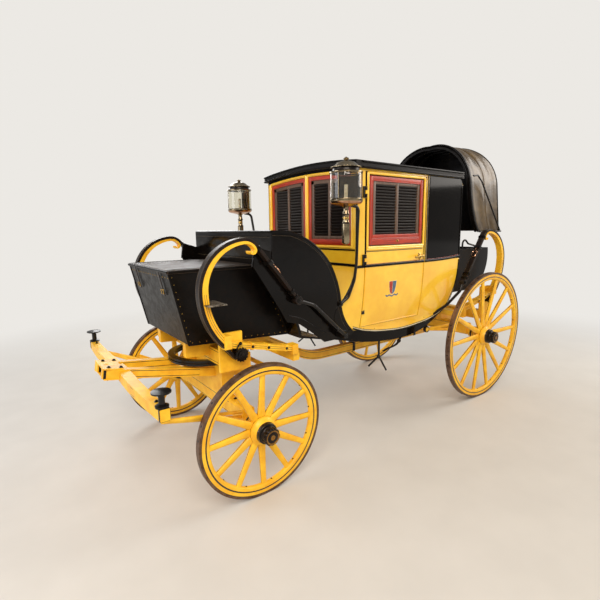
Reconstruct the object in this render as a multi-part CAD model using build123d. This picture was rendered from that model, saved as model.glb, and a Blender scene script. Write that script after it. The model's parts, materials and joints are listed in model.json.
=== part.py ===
from build123d import *
import math
import os

# Travelling coach on C-springs, in millimetres. X points forward, Y to the coach's left, Z up.
# While it is modelled, X = 0 is the front axle. On export everything moves along X so that
# the origin lies on the floor under the middle of the overall length.

# Wheels
wheelbase = 2590
track_half = 760            # middle of the tyre at hub height
camber = 1.8                # the wheels lean out at the top, degrees
front_wheel_r = 440
rear_wheel_r = 627
front_spokes = 12
rear_spokes = 14
tyre_width = 42
tyre_thick = 15
felloe_depth = 56
felloe_width = 40
felloe_chamfer = 9
dish = 24                   # the spokes stand in the nave this far inside the rim
nave_r = 92
nave_end_r = 62
nave_in = 130               # nave from the rim's middle towards the coach
nave_out = 62               # and outwards
spoke_root = (58, 34)       # across the wheel's face, through it
spoke_tip = (38, 26)
cap_r = 58
cap_long = 56
cap_flutes = 12
arm_r = 27
arm_clearance = 0.05
arm_reach = 40              # how far the axle arm goes past the rim's middle

# Undercarriage
axle_bed = (86, 92)         # along X, along Z
front_bed_half = 585
rear_bed_half = 585
perch_width = 62
perch_deep = 78
perch_z = 548               # middle of the perch under the body
perch_front_z = 846         # middle where it enters the transom
perch_drop_x = -240         # it turns down here
perch_bend_r = 600
perch_bend = 27
perch_rear_x = -2650
ring_r = 300
ring_wide = 44
ring_thick = 16
ring_z = 778                # top of the lower plate
ring_gap = 6
transom_x = 40
transom_size = (150, 104)
transom_half = 572
bearer_y = 250
bearer_wide = 48
king_pin_r = 20
king_clearance = 0.08

# Fore-carriage
futchell_front = (775, 80)  # X and Y of the crotch end
futchell_rear = (-330, 215)
futchell_wide = 52
futchell_deep = 60
futchell_front_z = 803
futchell_rear_z = 622
crotch_plate = (130, 8)     # length and thickness of the pole plates
pole_bolt_x = 728
pole_bolt_r = 11
splinter_x = 640
splinter_z = 768
splinter_half = 868
splinter_size = (66, 64)
roller_y = 826
roller_stem_r = 17
roller_disc_r = 52
roller_height = 92
sway_bar_x = -330
sway_bar_half = 330
sway_bar_r = 17

# Springs, one C at each corner
spring_y = 630
spring_wide = 58
spring_thick = 36
spring_top_r = 280
spring_back_r = 440
spring_back_turn = 41
spring_foot_r = 150
spring_tail_slope = 13
spring_tail_long = 470
spring_top_thick = 17
scroll_neck_r = 90
scroll_r = 27
scroll_end_r = 15
scroll_thick = 12
scroll_end_thick = 9
front_spring_at = (295, 1328)    # outermost point of the front C
rear_spring_at = (-3035, 1345)   # outermost point of the rear C
brace_wide = 56
brace_thick = 20
brace_gap = 1
brace_foot_run = 150
eye_r = 20
brace_bend_r = 105
front_brace_turn = 52
rear_brace_turn = 57
front_brace_run = 480
rear_brace_run = 520
step_at = (246, 1262)
step_size = (116, 172)
step_thick = 7
windlass_r = 47
windlass_drum_r = 26
windlass_teeth = 14
windlass_half = 38
ratchet_thick = 12
bracket_thick = 20
bracket_y = spring_y - windlass_half

# Body shell
body_half = 597
body_front_x = -960
body_rear_x = -2335
wall = 30
belt_z = 1400
roof_edge_z = 2185
frieze_z = 2128
roof_crown = 36
roof_over = 26
roof_thick = 34
turn_under = 70             # how far the side comes in from belt to sill
sill_z = 815
rocker_deep = 84
door_front_x = -1055
door_rear_x = -1800
door_gap = 7
door_rear_gap = 10
door_bottom_z = 900
door_top_z = 2116
window_top_z = 2086
window_side = 40
window_bottom_z = 1560
front_post = 34
shutter_thick = 20
hinge_out = 12              # the hinge pins stand this far off the panel
hinge_z = (1450, 1960)
hinge_r = 8
hinge_pin_r = 4
hinge_pin_clearance = 0.05
hinge_long = 84
handle_z = 1450

# Front boot, dash and foot well
boot_half = 410
boot_top_z = 1436
boot_front_x = 417
boot_front_low = (315, 975)
boot_rear_x = -236
boot_rear_low = (-452, 930)
boot_wall = 16
lid_thick = 22
lid_over = 10
lid_rear_x = -180
lid_gap = 6
dash_x = -205
dash_thick = 14
dash_half = 601
dash_top_z = 1680
toe_end = (-700, 866)

# Lamps
lamp_at = (-722, 742)
lamp_glass_r = 108
lamp_glass_z = (1882, 2062)
lamp_top_z = 2166
lamp_tube_r = 27
lamp_tube_z = 1580
lamp_iron_r = 11

# Rumble seat and hood
rumble_half = 470
rumble_front_x = -2372
rumble_rear_x = -3070
rumble_floor_z = 1050
rumble_top_z = 1470
rumble_wall = 22
rail_z = 1640
rail_r = 9
hood_half = 520
hood_front_x = -2631
hood_foot_x = -2790
hood_rear_x = -3100
hood_crown_z = 2545
hood_foot_z = 1642
hood_thick = 8
hood_iron_r = 8

front_reach = futchell_front[0]
rear_reach = wheelbase + rear_wheel_r
shift_x = (rear_reach - front_reach) / 2

saved = []
os.makedirs("parts", exist_ok=True)


def save(name, *shapes):
    """Write one node, moved to the export frame."""
    solids = []
    for shape in shapes:
        solids += list(shape.solids())
    moved = [Pos(shift_x, 0, 0) * solid for solid in solids]
    node = moved[0] if len(moved) == 1 else Compound(children=moved)
    node.label = name
    export_step(node, "parts/" + name + ".step")
    saved.append(name)


def box(x, y, z):
    """Box between two limits on each axis."""
    return Pos(sum(x) / 2, sum(y) / 2, sum(z) / 2) * Box(abs(x[1] - x[0]), abs(y[1] - y[0]), abs(z[1] - z[0]))


def outline(start, *steps):
    """Closed flat face: a step is a point, or a pair (point on the arc, end of the arc)."""
    edges = []
    here = start
    for step in steps:
        if isinstance(step[0], tuple):
            edges.append(ThreePointArc(here, step[0], step[1]))
            here = step[1]
        else:
            edges.append(Line(here, step))
            here = step
    if math.dist(here, start) > 1e-6:
        edges.append(Line(here, start))
    return make_face(Wire(edges))


def side_plate(face, y):
    """Face drawn in X and Z, given its thickness between two Y values."""
    solid = extrude(face, amount=abs(y[1] - y[0]) / 2, both=True)
    return Pos(0, sum(y) / 2, 0) * (Plane.XZ * solid)


def cross_plate(face, x):
    """Face drawn in Y and Z, given its thickness between two X values."""
    solid = extrude(face, amount=abs(x[1] - x[0]) / 2, both=True)
    return Pos(sum(x) / 2, 0, 0) * (Plane.YZ * solid)


def rod(a, b, r):
    """Round bar between two points."""
    a, b = Vector(*a), Vector(*b)
    return Solid.make_cylinder(r, (b - a).length, Plane(origin=a, z_dir=b - a))


def bar(a, b, wide, deep, up=(0, 0, 1)):
    """Rectangular bar between two points; deep is measured towards up."""
    a, b = Vector(*a), Vector(*b)
    along = (b - a).normalized()
    across = Vector(*up).cross(along).normalized()
    plane = Plane(origin=a, x_dir=across, z_dir=along)
    return extrude(plane * Rectangle(wide, deep), amount=(b - a).length)


def bent_rod(points, radii, r):
    """Round bar along straight runs joined by arcs."""
    path = FilletPolyline(*points, radius=radii)
    return sweep(Plane(origin=path @ 0, z_dir=path % 0) * Circle(r), path=path)


def mirrored(shape):
    """The same piece on the other side of the coach."""
    return mirror(shape, about=Plane.XZ)


def both_sides(shape):
    return [shape, mirrored(shape)]


# Wheels

def wheel_place(x, side, r):
    """Location of a wheel: its own +Z becomes the outer end of its axle."""
    lean = math.radians(camber)
    z = r * math.cos(lean) + tyre_width / 2 * math.sin(lean)
    return Pos(x, side * track_half, z) * Rot(-side * (90 + camber), 0, 0)


def ring(r_out, r_in, z0, z1):
    body = Cylinder(r_out, z1 - z0, align=(Align.CENTER, Align.CENTER, Align.MIN))
    hole = Cylinder(r_in, z1 - z0, align=(Align.CENTER, Align.CENTER, Align.MIN))
    return Pos(0, 0, z0) * (body - hole)


def turned(points):
    """Solid of revolution about Z from (radius, height) points."""
    return revolve(Plane.XZ * make_face(Polyline(*points, close=True)), axis=Axis.Z)


def spoke_section(size):
    """Eight-sided section of a spoke, wide across the wheel's face."""
    a, b = size[0] / 2, size[1] / 2
    corners = [(a, b * 0.35), (a * 0.62, b), (-a * 0.62, b), (-a, b * 0.35),
               (-a, -b * 0.35), (-a * 0.62, -b), (a * 0.62, -b), (a, -b * 0.35)]
    return make_face(Polyline(*corners, close=True))


def wooden_wheel(r, spokes):
    """Nave, tapered spokes and felloes as one wheel, bored for the axle arm."""
    rim_out = r - tyre_thick
    rim_in = rim_out - felloe_depth
    half = felloe_width / 2
    felloes = turned([(rim_out, -half), (rim_out, half), (rim_in + felloe_chamfer, half),
                      (rim_in, half - felloe_chamfer), (rim_in, felloe_chamfer - half),
                      (rim_in + felloe_chamfer, -half)])
    nave = turned([(0, -nave_in), (nave_end_r, -nave_in), (nave_end_r + 8, -nave_in + 34),
                   (nave_r - 12, -dish - 46), (nave_r, -dish - 36), (nave_r, -dish + 34),
                   (nave_r - 12, -dish + 44), (nave_end_r + 4, nave_out - 16), (nave_end_r, nave_out),
                   (0, nave_out)])
    wheel = felloes + nave
    root_at = nave_r - 14
    tip_at = rim_in + 12
    run = math.hypot(tip_at - root_at, dish)
    place = Plane(origin=(root_at, 0, -dish), x_dir=(0, 1, 0), z_dir=(tip_at - root_at, 0, dish))
    spoke = loft([place * spoke_section(spoke_root), place.offset(run) * spoke_section(spoke_tip)], ruled=True)
    wheel += [Rot(0, 0, i * 360 / spokes) * spoke for i in range(spokes)]
    bore_deep = nave_in + arm_reach + 2
    bore = Pos(0, 0, -nave_in) * Cylinder(arm_r + arm_clearance, bore_deep,
                                          align=(Align.CENTER, Align.CENTER, Align.MIN))
    return wheel - bore


def hub_cap():
    """Fluted iron cap on the nave's outer end."""
    cap = Pos(0, 0, nave_out) * Cylinder(cap_r, cap_long, align=(Align.CENTER, Align.CENTER, Align.MIN))
    flute = Pos(cap_r + 6, 0, nave_out + 18) * Cylinder(11, cap_long, align=(Align.CENTER, Align.CENTER, Align.MIN))
    return cap - [Rot(0, 0, i * 360 / cap_flutes) * flute for i in range(cap_flutes)]


def wheels():
    corners = (("front_left", 0, 1, front_wheel_r, front_spokes), ("front_right", 0, -1, front_wheel_r, front_spokes),
               ("rear_left", -wheelbase, 1, rear_wheel_r, rear_spokes),
               ("rear_right", -wheelbase, -1, rear_wheel_r, rear_spokes))
    made = {}
    for corner, x, side, r, spokes in corners:
        if r not in made:
            made[r] = (ring(r, r - tyre_thick, -tyre_width / 2, tyre_width / 2), wooden_wheel(r, spokes), hub_cap())
        place = wheel_place(x, side, r)
        for piece, shape in zip(("tyre", "wheel", "hub_cap"), made[r]):
            save(corner + "_" + piece, place * shape)


def axle_arms(x, r):
    """Round arms that the wheels turn on, with the collar the nave runs against."""
    arms = []
    for side in (1, -1):
        place = wheel_place(x, side, r)
        arm = Pos(0, 0, -nave_in - 60) * Cylinder(arm_r, nave_in + 60 + arm_reach,
                                                  align=(Align.CENTER, Align.CENTER, Align.MIN))
        collar = Pos(0, 0, -nave_in - 30) * Cylinder(arm_r + 16, 24, align=(Align.CENTER, Align.CENTER, Align.MIN))
        arms.append(place * (arm + collar))
    return arms


def axle(x, r, bed_half):
    """Iron axle under a wooden bed."""
    arms = axle_arms(x, r)
    bed = box((x - axle_bed[0] / 2, x + axle_bed[0] / 2), (-bed_half, bed_half), (r - 20, r + axle_bed[1]))
    bed = chamfer(bed.edges().filter_by(Axis.Y), 12)
    return bed + arms


# Springs and thoroughbraces

def spring_path(at, side, grow, up_steps, down_steps, tail):
    """Chain of tangent arcs from the C's outermost point, up over the top and down to the tail."""
    start = (at[0] + side * grow, at[1])
    down = []
    here, heading = start, Vector(0, -1)
    for radius, turn in down_steps:
        arc = JernArc(here, heading, radius, -side * turn)
        down.append(arc)
        here, heading = arc @ 1, arc % 1
    if tail:
        down.append(Line(here, here + heading * tail))
    up = []
    here, heading = start, Vector(0, 1)
    for radius, turn in up_steps:
        arc = JernArc(here, heading, radius, side * turn)
        up.append(arc)
        here, heading = arc @ 1, arc % 1
    return down, up, here, heading


def band(edges, wide, thick, y):
    """Flat bar of constant thickness bent along edges drawn in X and Z."""
    wire = Wire(edges)
    section = Plane(origin=wire @ 0, x_dir=(0, 0, 1), z_dir=wire % 0) * Rectangle(wide, thick)
    return Pos(0, y, 0) * (Plane.XZ * sweep(section, path=wire))


def c_spring(at, side):
    """C-spring: even in thickness up to its outermost point, then thinner up to the scroll at its end."""
    half = spring_thick / 2
    down, _, _, _ = spring_path(
        at, side, 0, (),
        ((spring_back_r, spring_back_turn), (spring_foot_r, 90 - spring_back_turn - spring_tail_slope)),
        spring_tail_long)
    _, up, _, _ = spring_path(
        at, side, half, ((spring_top_r + half, 88), (scroll_neck_r, 60), (scroll_r, 150), (scroll_end_r, 90)), (), 0)
    inner = []
    for edge, (first, last) in zip(up, ((spring_thick, spring_top_thick), (spring_top_thick, scroll_thick),
                                        (scroll_thick, scroll_thick), (scroll_thick, scroll_end_thick))):
        for i in range(9):
            along = edge % (i / 9)
            deep = first + (last - first) * i / 9
            inner.append(edge @ (i / 9) + Vector(-along.Y, along.X) * side * deep)
    along = up[-1] % 1
    inner.append(up[-1] @ 1 + Vector(-along.Y, along.X) * side * scroll_end_thick)
    blade = make_face(Wire(up + [Line(up[-1] @ 1, inner[-1]), Spline(*reversed(inner)), Line(inner[0], up[0] @ 0)]))
    foot = band(list(reversed(down)), spring_wide, spring_thick, spring_y)
    width = (spring_y - spring_wide / 2, spring_y + spring_wide / 2)
    return foot + side_plate(blade, width), down[-1] @ 1


def brace(at, side, turn, run):
    """Leather strap over the outside of a C, from its windlass to the body iron."""
    grow = (spring_thick + brace_thick) / 2 + brace_gap
    down, up, here, heading = spring_path(
        at, side, grow,
        ((spring_top_r + grow, 88), (brace_bend_r, turn)),
        ((spring_back_r + grow, spring_back_turn),), brace_foot_run)
    up.append(Line(here, here + heading * run))
    strap = band(list(reversed(down)) + up, brace_wide, brace_thick, spring_y)
    foot, way = down[-1] @ 1, down[-1] % 1
    drum = foot + Vector(way.Y, -way.X) * side * (windlass_drum_r + brace_thick / 2 + brace_gap)
    room = band([down[-1]] + list(reversed(down[:-1])), brace_wide + 2, brace_thick + 2 * brace_gap, spring_y)
    return strap, drum, here + heading * (run + eye_r + 0.3), room


def windlass(at):
    """Ratchet wheel and drum that tighten a strap."""
    step = 360 / windlass_teeth
    teeth = []
    for i in range(windlass_teeth):
        teeth.append((windlass_r * math.cos(math.radians(i * step)), windlass_r * math.sin(math.radians(i * step))))
        inner = math.radians(i * step + 0.2 * step)
        teeth.append((windlass_r * 0.84 * math.cos(inner), windlass_r * 0.84 * math.sin(inner)))
    wheel = extrude(make_face(Polyline(*teeth, close=True)), amount=ratchet_thick)
    low = bracket_y
    drum = Cylinder(windlass_drum_r, 92, align=(Align.CENTER, Align.CENTER, Align.MIN))
    return Pos(at.X, low, at.Y) * (Rot(-90, 0, 0) * (drum + Pos(0, 0, 92 - 8 - ratchet_thick) * wheel))


def springs():
    """All four springs with their straps, windlasses and brackets."""
    ends, drums = {}, []
    for name, at, side, turn, run in (("front", front_spring_at, 1, front_brace_turn, front_brace_run),
                                      ("rear", rear_spring_at, -1, rear_brace_turn, rear_brace_run)):
        spring, tail = c_spring(at, side)
        strap, drum, end, room = brace(at, side, turn, run)
        save(name + "_springs", *both_sides(spring))
        save(name + "_thoroughbraces", *both_sides(strap))
        drums += both_sides(windlass(drum))
        ends[name] = {"brace": end, "drum": drum, "tail": tail, "spring": spring, "room": room,
                      "strap": strap}
    save("windlasses", *drums)
    return ends


def spring_bracket(end, side, bed_top):
    """Plate from a bed's end to the spring's foot, which it clips, with the windlass outside it."""
    drum = end["drum"]
    x = (drum.X - side * 50, drum.X + side * 110)
    plate = box(x, (bracket_y - bracket_thick, bracket_y), (bed_top - 90, drum.Y + 130))
    clip_x = (drum.X + side * 62, drum.X + side * 110)
    clip = box(clip_x, (bracket_y, spring_y + spring_wide / 2 + 10), (drum.Y + 48, drum.Y + 132))
    return plate + (clip - end["spring"] - end["room"])


def tail_clip(end, bar_top):
    """Clip that holds the spring's tail down on its cross bar."""
    tail = end["tail"]
    half = spring_wide / 2 + 5
    clip = box((tail.X - 8, tail.X + 40), (spring_y - half, spring_y + half), (bar_top, tail.Y + 34))
    return clip - end["spring"]


def spring_step(end):
    """Iron tread clipped to the inside of a front C."""
    x, z = step_at
    tread = box((x - step_size[0] / 2, x + step_size[0] / 2),
                (spring_y - step_size[1] / 2, spring_y + step_size[1] / 2), (z, z + step_thick))
    return tread - end["spring"] - end["strap"]


# Undercarriage

def perch():
    """Perch beam: level out of the transom, down under the body and level again to the rear bed."""
    here, heading = Vector(transom_x - transom_size[0] / 2, perch_front_z), Vector(-1, 0)
    edges = [Line(here, (perch_drop_x, perch_front_z))]
    bend = JernArc((perch_drop_x, perch_front_z), heading, perch_bend_r, perch_bend)
    heading = bend % 1
    rise = perch_front_z - perch_z - 2 * perch_bend_r * (1 - math.cos(math.radians(perch_bend)))
    slope = Line(bend @ 1, (bend @ 1) + heading * rise / math.sin(math.radians(perch_bend)))
    back = JernArc(slope @ 1, heading, perch_bend_r, -perch_bend)
    edges += [bend, slope, back, Line(back @ 1, (perch_rear_x, (back @ 1).Y))]
    return band(edges, perch_width, perch_deep, 0)


def transom(ends):
    """Fixed front bed on the turntable, with the bar under the spring tails and the boot bearers."""
    low = ring_z + ring_gap + ring_thick
    top = low + transom_size[1]
    x = (transom_x - transom_size[0] / 2, transom_x + transom_size[0] / 2)
    beam = box(x, (-transom_half, transom_half), (low, top))
    end = ends["front"]
    tail = end["tail"]
    bar_top = tail.Y - 34
    bar_x = (tail.X - 26, tail.X + 26)
    tail_bar = box(bar_x, (-spring_y - 20, spring_y + 20), (bar_top - 50, bar_top))
    bearer = side_plate(outline((bar_x[0], bar_top - 40), (boot_front_x - 130, top - 50),
                                boot_floor_at(boot_front_x - 130), boot_floor_at(bar_x[0])),
                        (bearer_y - bearer_wide / 2, bearer_y + bearer_wide / 2))
    body = beam + tail_bar + both_sides(bearer)
    body += both_sides(spring_bracket(end, 1, top))
    body += both_sides(tail_clip(end, bar_top))
    pin_hole = Pos(0, 0, low) * Cylinder(king_pin_r + king_clearance, 400)
    return body - perch() - pin_hole


def boot_floor_at(x):
    """Point on the underside of the boot's floor at this X."""
    (x0, z0), (x1, z1) = boot_rear_low, boot_front_low
    return (x, z0 + (z1 - z0) * (x - x0) / (x1 - x0))


def plate_ring(z, thick):
    """Half of the turntable: a flat ring round the king pin."""
    return ring(ring_r, ring_r - ring_wide, z, z + thick)


def rear_carriage(ends):
    """Rear axle and bed, with the spring brackets and the forked stays towards the body."""
    bed = axle(-wheelbase, rear_wheel_r, rear_bed_half)
    top = rear_wheel_r + axle_bed[1]
    end = ends["rear"]
    drum, tail = end["drum"], end["tail"]
    post = box((-wheelbase - 200, -wheelbase + 40), (bearer_y - 30, bearer_y + 30), (top - 60, top + 90))
    perch_foot = box((-wheelbase - 40, -wheelbase + 43), (-44, 44), (perch_z, rear_wheel_r))
    cross = box((drum.X - 36, drum.X + 50), (-bracket_y + 4, bracket_y - 4), (top + 20, top + 110))
    bar_top = tail.Y - 34
    bar_x = (tail.X - 26, tail.X + 26)
    tail_bar = box(bar_x, (-spring_y - 20, spring_y + 20), (bar_top - 50, bar_top))
    link = bar((-wheelbase - 60, bearer_y, top + 60), (tail.X - 20, bearer_y, bar_top - 25), 44, 50)
    body = bed + [cross, tail_bar, perch_foot] + both_sides(post) + both_sides(link)
    body += both_sides(spring_bracket(end, -1, top + 110))
    body += both_sides(tail_clip(end, bar_top))
    return body - perch()


def drag_fork(sill):
    """Forked iron that hangs under the body's floor on each side of the way in."""
    x, y, top, low = -1344, 500, sill_z - 30, 578
    stem = rod((x, y, top), (x, y, low), 9)
    cross = rod((x + 124, y, low - 44), (x, y, low + 20), 8)
    other = rod((x - 98, y, low - 128), (x, y, low + 20), 8)
    return (stem + cross + other + Pos(x, y, low + 14) * Sphere(18)) - sill - shell_solid(0)


def stay_fork():
    """Forked iron on each side that reaches forward from the rear bed to the check strap."""
    tip = (-2060, 455, 715)
    upper = rod(tip, (-wheelbase, 455, rear_wheel_r + axle_bed[1] - 22), 15)
    lower = rod(tip, (-wheelbase, 455, rear_wheel_r + 2), 15)
    bed = box((-wheelbase - 100, -wheelbase + axle_bed[0] / 2), (0, 600), (400, 900))
    return (upper + lower + Pos(*tip) * Sphere(24)) - bed


# Fore-carriage

def futchell_bar(side):
    return bar((futchell_front[0], side * futchell_front[1], futchell_front_z),
               (futchell_rear[0], side * futchell_rear[1], futchell_rear_z), futchell_wide, futchell_deep)


def futchell_rise():
    """Slope of the futchells in the X-Z plane, and their middle height at a given X."""
    return (futchell_front_z - futchell_rear_z) / (futchell_front[0] - futchell_rear[0])


def futchell_mid(x):
    return futchell_front_z + futchell_rise() * (x - futchell_front[0])


def futchells():
    """The two futchells with the plates that close the crotch above and below the pole."""
    bars = futchell_bar(1) + futchell_bar(-1)
    x0, x1 = futchell_front[0] - crotch_plate[0], futchell_front[0] - 4
    half = futchell_deep / 2 + crotch_plate[1] / 2
    plates = [bar((x0, 0, futchell_mid(x0) + up * half), (x1, 0, futchell_mid(x1) + up * half),
                  2 * futchell_front[1] + futchell_wide + 26, crotch_plate[1]) for up in (1, -1)]
    sway = rod((sway_bar_x, -sway_bar_half, futchell_rear_z + 46), (sway_bar_x, sway_bar_half, futchell_rear_z + 46),
               sway_bar_r)
    seats = [box((sway_bar_x - 2, sway_bar_x + 40), (y - 26, y + 26), (futchell_rear_z, futchell_rear_z + 46))
             for y in (futchell_rear[1] - 2, 2 - futchell_rear[1])]
    bolt_hole = Pos(pole_bolt_x, 0, futchell_mid(pole_bolt_x)) * Cylinder(pole_bolt_r, 120)
    return (bars + plates + sway + seats) - bolt_hole


def fore_bed(frame):
    """Front axle with its bed, the bolster that the futchells pass through, and the king pin."""
    bed = axle(0, front_wheel_r, front_bed_half)
    top = front_wheel_r + axle_bed[1]
    bolster = box((-48, 48), (-ring_r, ring_r), (top - 10, ring_z - ring_thick))
    low = ring_z + ring_gap + ring_thick
    pin = Pos(0, 0, ring_z - 120) * Cylinder(king_pin_r, low - ring_z + transom_size[1] + 120,
                                             align=(Align.CENTER, Align.CENTER, Align.MIN))
    return bed + bolster + pin - frame


def splinter_bar(frame):
    """Bar across the front that the horses pull, eight-sided, thinner at its ends."""
    half = splinter_half
    face = outline((splinter_x - 33, 0), ((splinter_x - 20, half * 0.5), (splinter_x - 26, half)),
                   (splinter_x + 26, half), ((splinter_x + 46, half * 0.5), (splinter_x + 33, 0)))
    side = extrude(face, amount=splinter_size[1] / 2, both=True)
    return Pos(0, 0, splinter_z) * (side + mirrored(side)) - frame


def roller_bolt():
    """Iron roller with a wide cap for a trace, on the end of the splinter bar."""
    low = splinter_z + splinter_size[1] / 2
    top = low + roller_height
    points = [(0, low), (36, low), (36, low + 10), (roller_stem_r, low + 18), (roller_stem_r, top - 26),
              (roller_disc_r, top - 14), (roller_disc_r, top - 6), (0, top)]
    return Pos(splinter_x, roller_y, 0) * turned(points)


def fore_stays():
    """Iron stays from the splinter bar's ends to the axle bed, and the bar behind the futchells."""
    low = splinter_z - splinter_size[1] / 2 - 12
    out = splinter_half - 26
    upper = rod((splinter_x, out, low), (20, front_bed_half - 24, front_wheel_r + axle_bed[1] - 30), 12)
    lower = rod((splinter_x, out, low), (0, front_bed_half - 60, front_wheel_r + 4), 12)
    bed = box((-100, axle_bed[0] / 2), (0, front_bed_half + 40), (300, 700))
    seat = box((splinter_x - 20, splinter_x + 20), (out - 20, out + 20), (low, low + 12))
    return upper + lower + seat - bed


# Body

def half_width_face(inset, low, high):
    """Cross-section of the body in Y and Z: straight above the belt, drawn in below it."""
    out = body_half - inset
    drop = belt_z - sill_z
    mid = (out - turn_under * 0.27, belt_z - drop * 0.52)
    return outline((out, high), (out, belt_z), (mid, (out - turn_under, sill_z)), (out - turn_under - 2, low),
                   (2 + turn_under - out, low), (turn_under - out, sill_z), ((-mid[0], mid[1]), (-out, belt_z)),
                   (-out, high))


def body_profile(inset):
    """The body seen from the side, moved in by the inset: boat-shaped below the belt."""
    front, rear = body_front_x - inset, body_rear_x + inset
    low = sill_z + inset
    return outline(
        (front, frieze_z + roof_crown + 1),
        (front, belt_z),
        ((-922 - inset, 1285), (-815 - inset, 1130)),
        ((-758 - inset, 1060), (-765 - inset, 1000)),
        ((-815 - inset, 925), (-960, low + 84)),
        ((-1250, low + 29), (-1600, low)),
        ((-1940, low + 27), (-2160 + inset * 0.5, low + 93)),
        ((-2240 + inset, 988), (-2292 + inset, 1110)),
        ((-2326 + inset, 1250), (rear, belt_z)),
        (rear, frieze_z - 70),
        ((rear + 20, frieze_z - 20), (rear + 70, frieze_z)),
        (rear + 70, frieze_z + roof_crown + 1))


def arched(edge_z, x):
    """Everything under an arch that runs with the roof's crown and meets the sides at this height."""
    half = body_half + roof_over
    return cross_plate(outline((half, sill_z - 40), (half, edge_z), ((0, edge_z + roof_crown), (-half, edge_z)),
                               (-half, sill_z - 40)), x)


def shell_solid(inset):
    length = (body_rear_x - 50, -700)
    return side_plate(body_profile(inset), (-body_half, body_half)) & cross_plate(
        half_width_face(inset, sill_z - 30, roof_edge_z + roof_crown), length) & arched(frieze_z, length)


def body_shell():
    """Walls all round, open at the top under the roof."""
    outer = shell_solid(0)
    inner = shell_solid(wall)
    return outer - inner - box((body_rear_x + wall, body_front_x - wall), (wall - body_half, body_half - wall),
                               (frieze_z - 20 - wall, roof_edge_z + roof_crown))


def door_prism(gap, rear_gap):
    """Outline of the door's opening, or of the door itself when it is made smaller."""
    return box((door_rear_x + rear_gap, door_front_x - gap), (0, body_half + 60),
               (door_bottom_z + gap, door_top_z - gap))


def side_window(extra):
    return box((door_rear_x + door_gap + window_side - extra, door_front_x - door_gap - window_side + extra),
               (0, body_half + 60), (window_bottom_z - extra, window_top_z + extra))


def front_windows():
    wide = body_half - wall - 22
    length = (body_front_x - wall - 10, body_front_x + 10)
    return [box(length, side, (window_bottom_z, window_top_z + roof_crown)) & arched(window_top_z, length)
            for side in ((front_post / 2, wide), (-wide, -front_post / 2))]


def door_hinges():
    """Fixed knuckles above and below, and the door's leaf between them with its pin, at each hinge."""
    x, y = door_front_x, body_half + hinge_out
    third = hinge_long / 3
    fixed, moving = [], []
    for z in hinge_z:
        low, high = z - hinge_long / 2, z + hinge_long / 2
        leaf = box((x, x + 26), (body_half, y), (low, high)) - box((x - 1, x + hinge_r + 6), (body_half - 1, y + 9),
                                                                   (low + third - 0.6, high - third + 0.6))
        for z0 in (low, high - third):
            knuckle = Pos(x, y, z0) * Cylinder(hinge_r, third, align=(Align.CENTER, Align.CENTER, Align.MIN))
            leaf += knuckle
        fixed.append(leaf - Pos(x, y, z) * Cylinder(hinge_pin_r + hinge_pin_clearance, hinge_long + 2))
        pin = Pos(x, y, z) * Cylinder(hinge_pin_r, hinge_long + 4)
        middle = Pos(x, y, z) * Cylinder(hinge_r, third - 1.2)
        moving.append(pin + middle + box((x - 30, x), (body_half - 4, y), (z - third / 2 + 0.6, z + third / 2 - 0.6)))
    return fixed, moving


def louvre_shutter(x, z, thick):
    """Shutter in X and Z: a frame with a middle stile and a row of slats."""
    rail, stile, slats = 34, 30, 16
    frame = box(x, (0, thick), z) - box((x[0] + rail, x[1] - rail), (0, thick), (z[0] + rail, z[1] - rail))
    middle = box(((x[0] + x[1] - stile) / 2, (x[0] + x[1] + stile) / 2), (0, thick), (z[0] + rail, z[1] - rail))
    pitch = (z[1] - z[0] - 2 * rail) / slats
    panel = box((x[0] + rail, x[1] - rail), (4, thick - 4), (z[0] + rail, z[1] - rail))
    grooves = [box((x[0] + rail, x[1] - rail), (thick - 8, thick), (z[0] + rail + (i + 0.75) * pitch,
                                                                     z[0] + rail + (i + 1) * pitch))
               for i in range(slats)]
    return (frame + (panel - grooves) + middle)


def body():
    shell = body_shell()
    walls_z = (sill_z + 45, roof_edge_z + roof_crown)
    floor = shell & box((body_rear_x - 10, -700), (-body_half, body_half), (sill_z - 60, walls_z[0]))
    upper = shell - box((body_rear_x - 10, -700), (-body_half, body_half), (sill_z - 60, walls_z[0]))
    left = upper & box((body_rear_x - 10, -700), (body_half - wall - turn_under - 6, body_half + 10), walls_z)
    middle = upper & box((body_rear_x - 10, -700), (turn_under + wall + 6 - body_half,
                                                     body_half - wall - turn_under - 6), walls_z)
    front = middle & box((-1400, -700), (-body_half, body_half), walls_z)
    rear = middle & box((body_rear_x - 10, -1400), (-body_half, body_half), walls_z)
    save("floor", floor)
    front = front - front_windows()
    left_wall = left - door_prism(0, 0)
    for window in front_windows():
        left_wall -= window
    save("left_side", left_wall)
    save("right_side", mirrored(left_wall))
    save("front_wall", front)
    save("rear_wall", rear)
    fixed, moving = door_hinges()
    save("door_hinges", *fixed, *[mirrored(piece) for piece in fixed])
    door = (left & door_prism(door_gap, door_rear_gap)) - side_window(0) + moving
    save("left_door", door)
    save("right_door", mirrored(door))
    x = (door_rear_x + door_gap + window_side, door_front_x - door_gap - window_side)
    z = (window_bottom_z, window_top_z)
    shutter = Pos(0, body_half - wall + 4, 0) * louvre_shutter(x, z, shutter_thick)
    save("left_door_shutter", shutter)
    save("right_door_shutter", mirrored(shutter))
    wide = body_half - wall - 22
    front_shutter = Rot(0, 0, 90) * louvre_shutter((front_post / 2, wide), (window_bottom_z, window_top_z + 24),
                                                    shutter_thick)
    length = (body_front_x - wall - 10, body_front_x + 10)
    front_shutter = (Pos(body_front_x - 4, 0, 0) * front_shutter) & arched(window_top_z, length)
    save("front_shutters", *both_sides(front_shutter))


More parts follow.
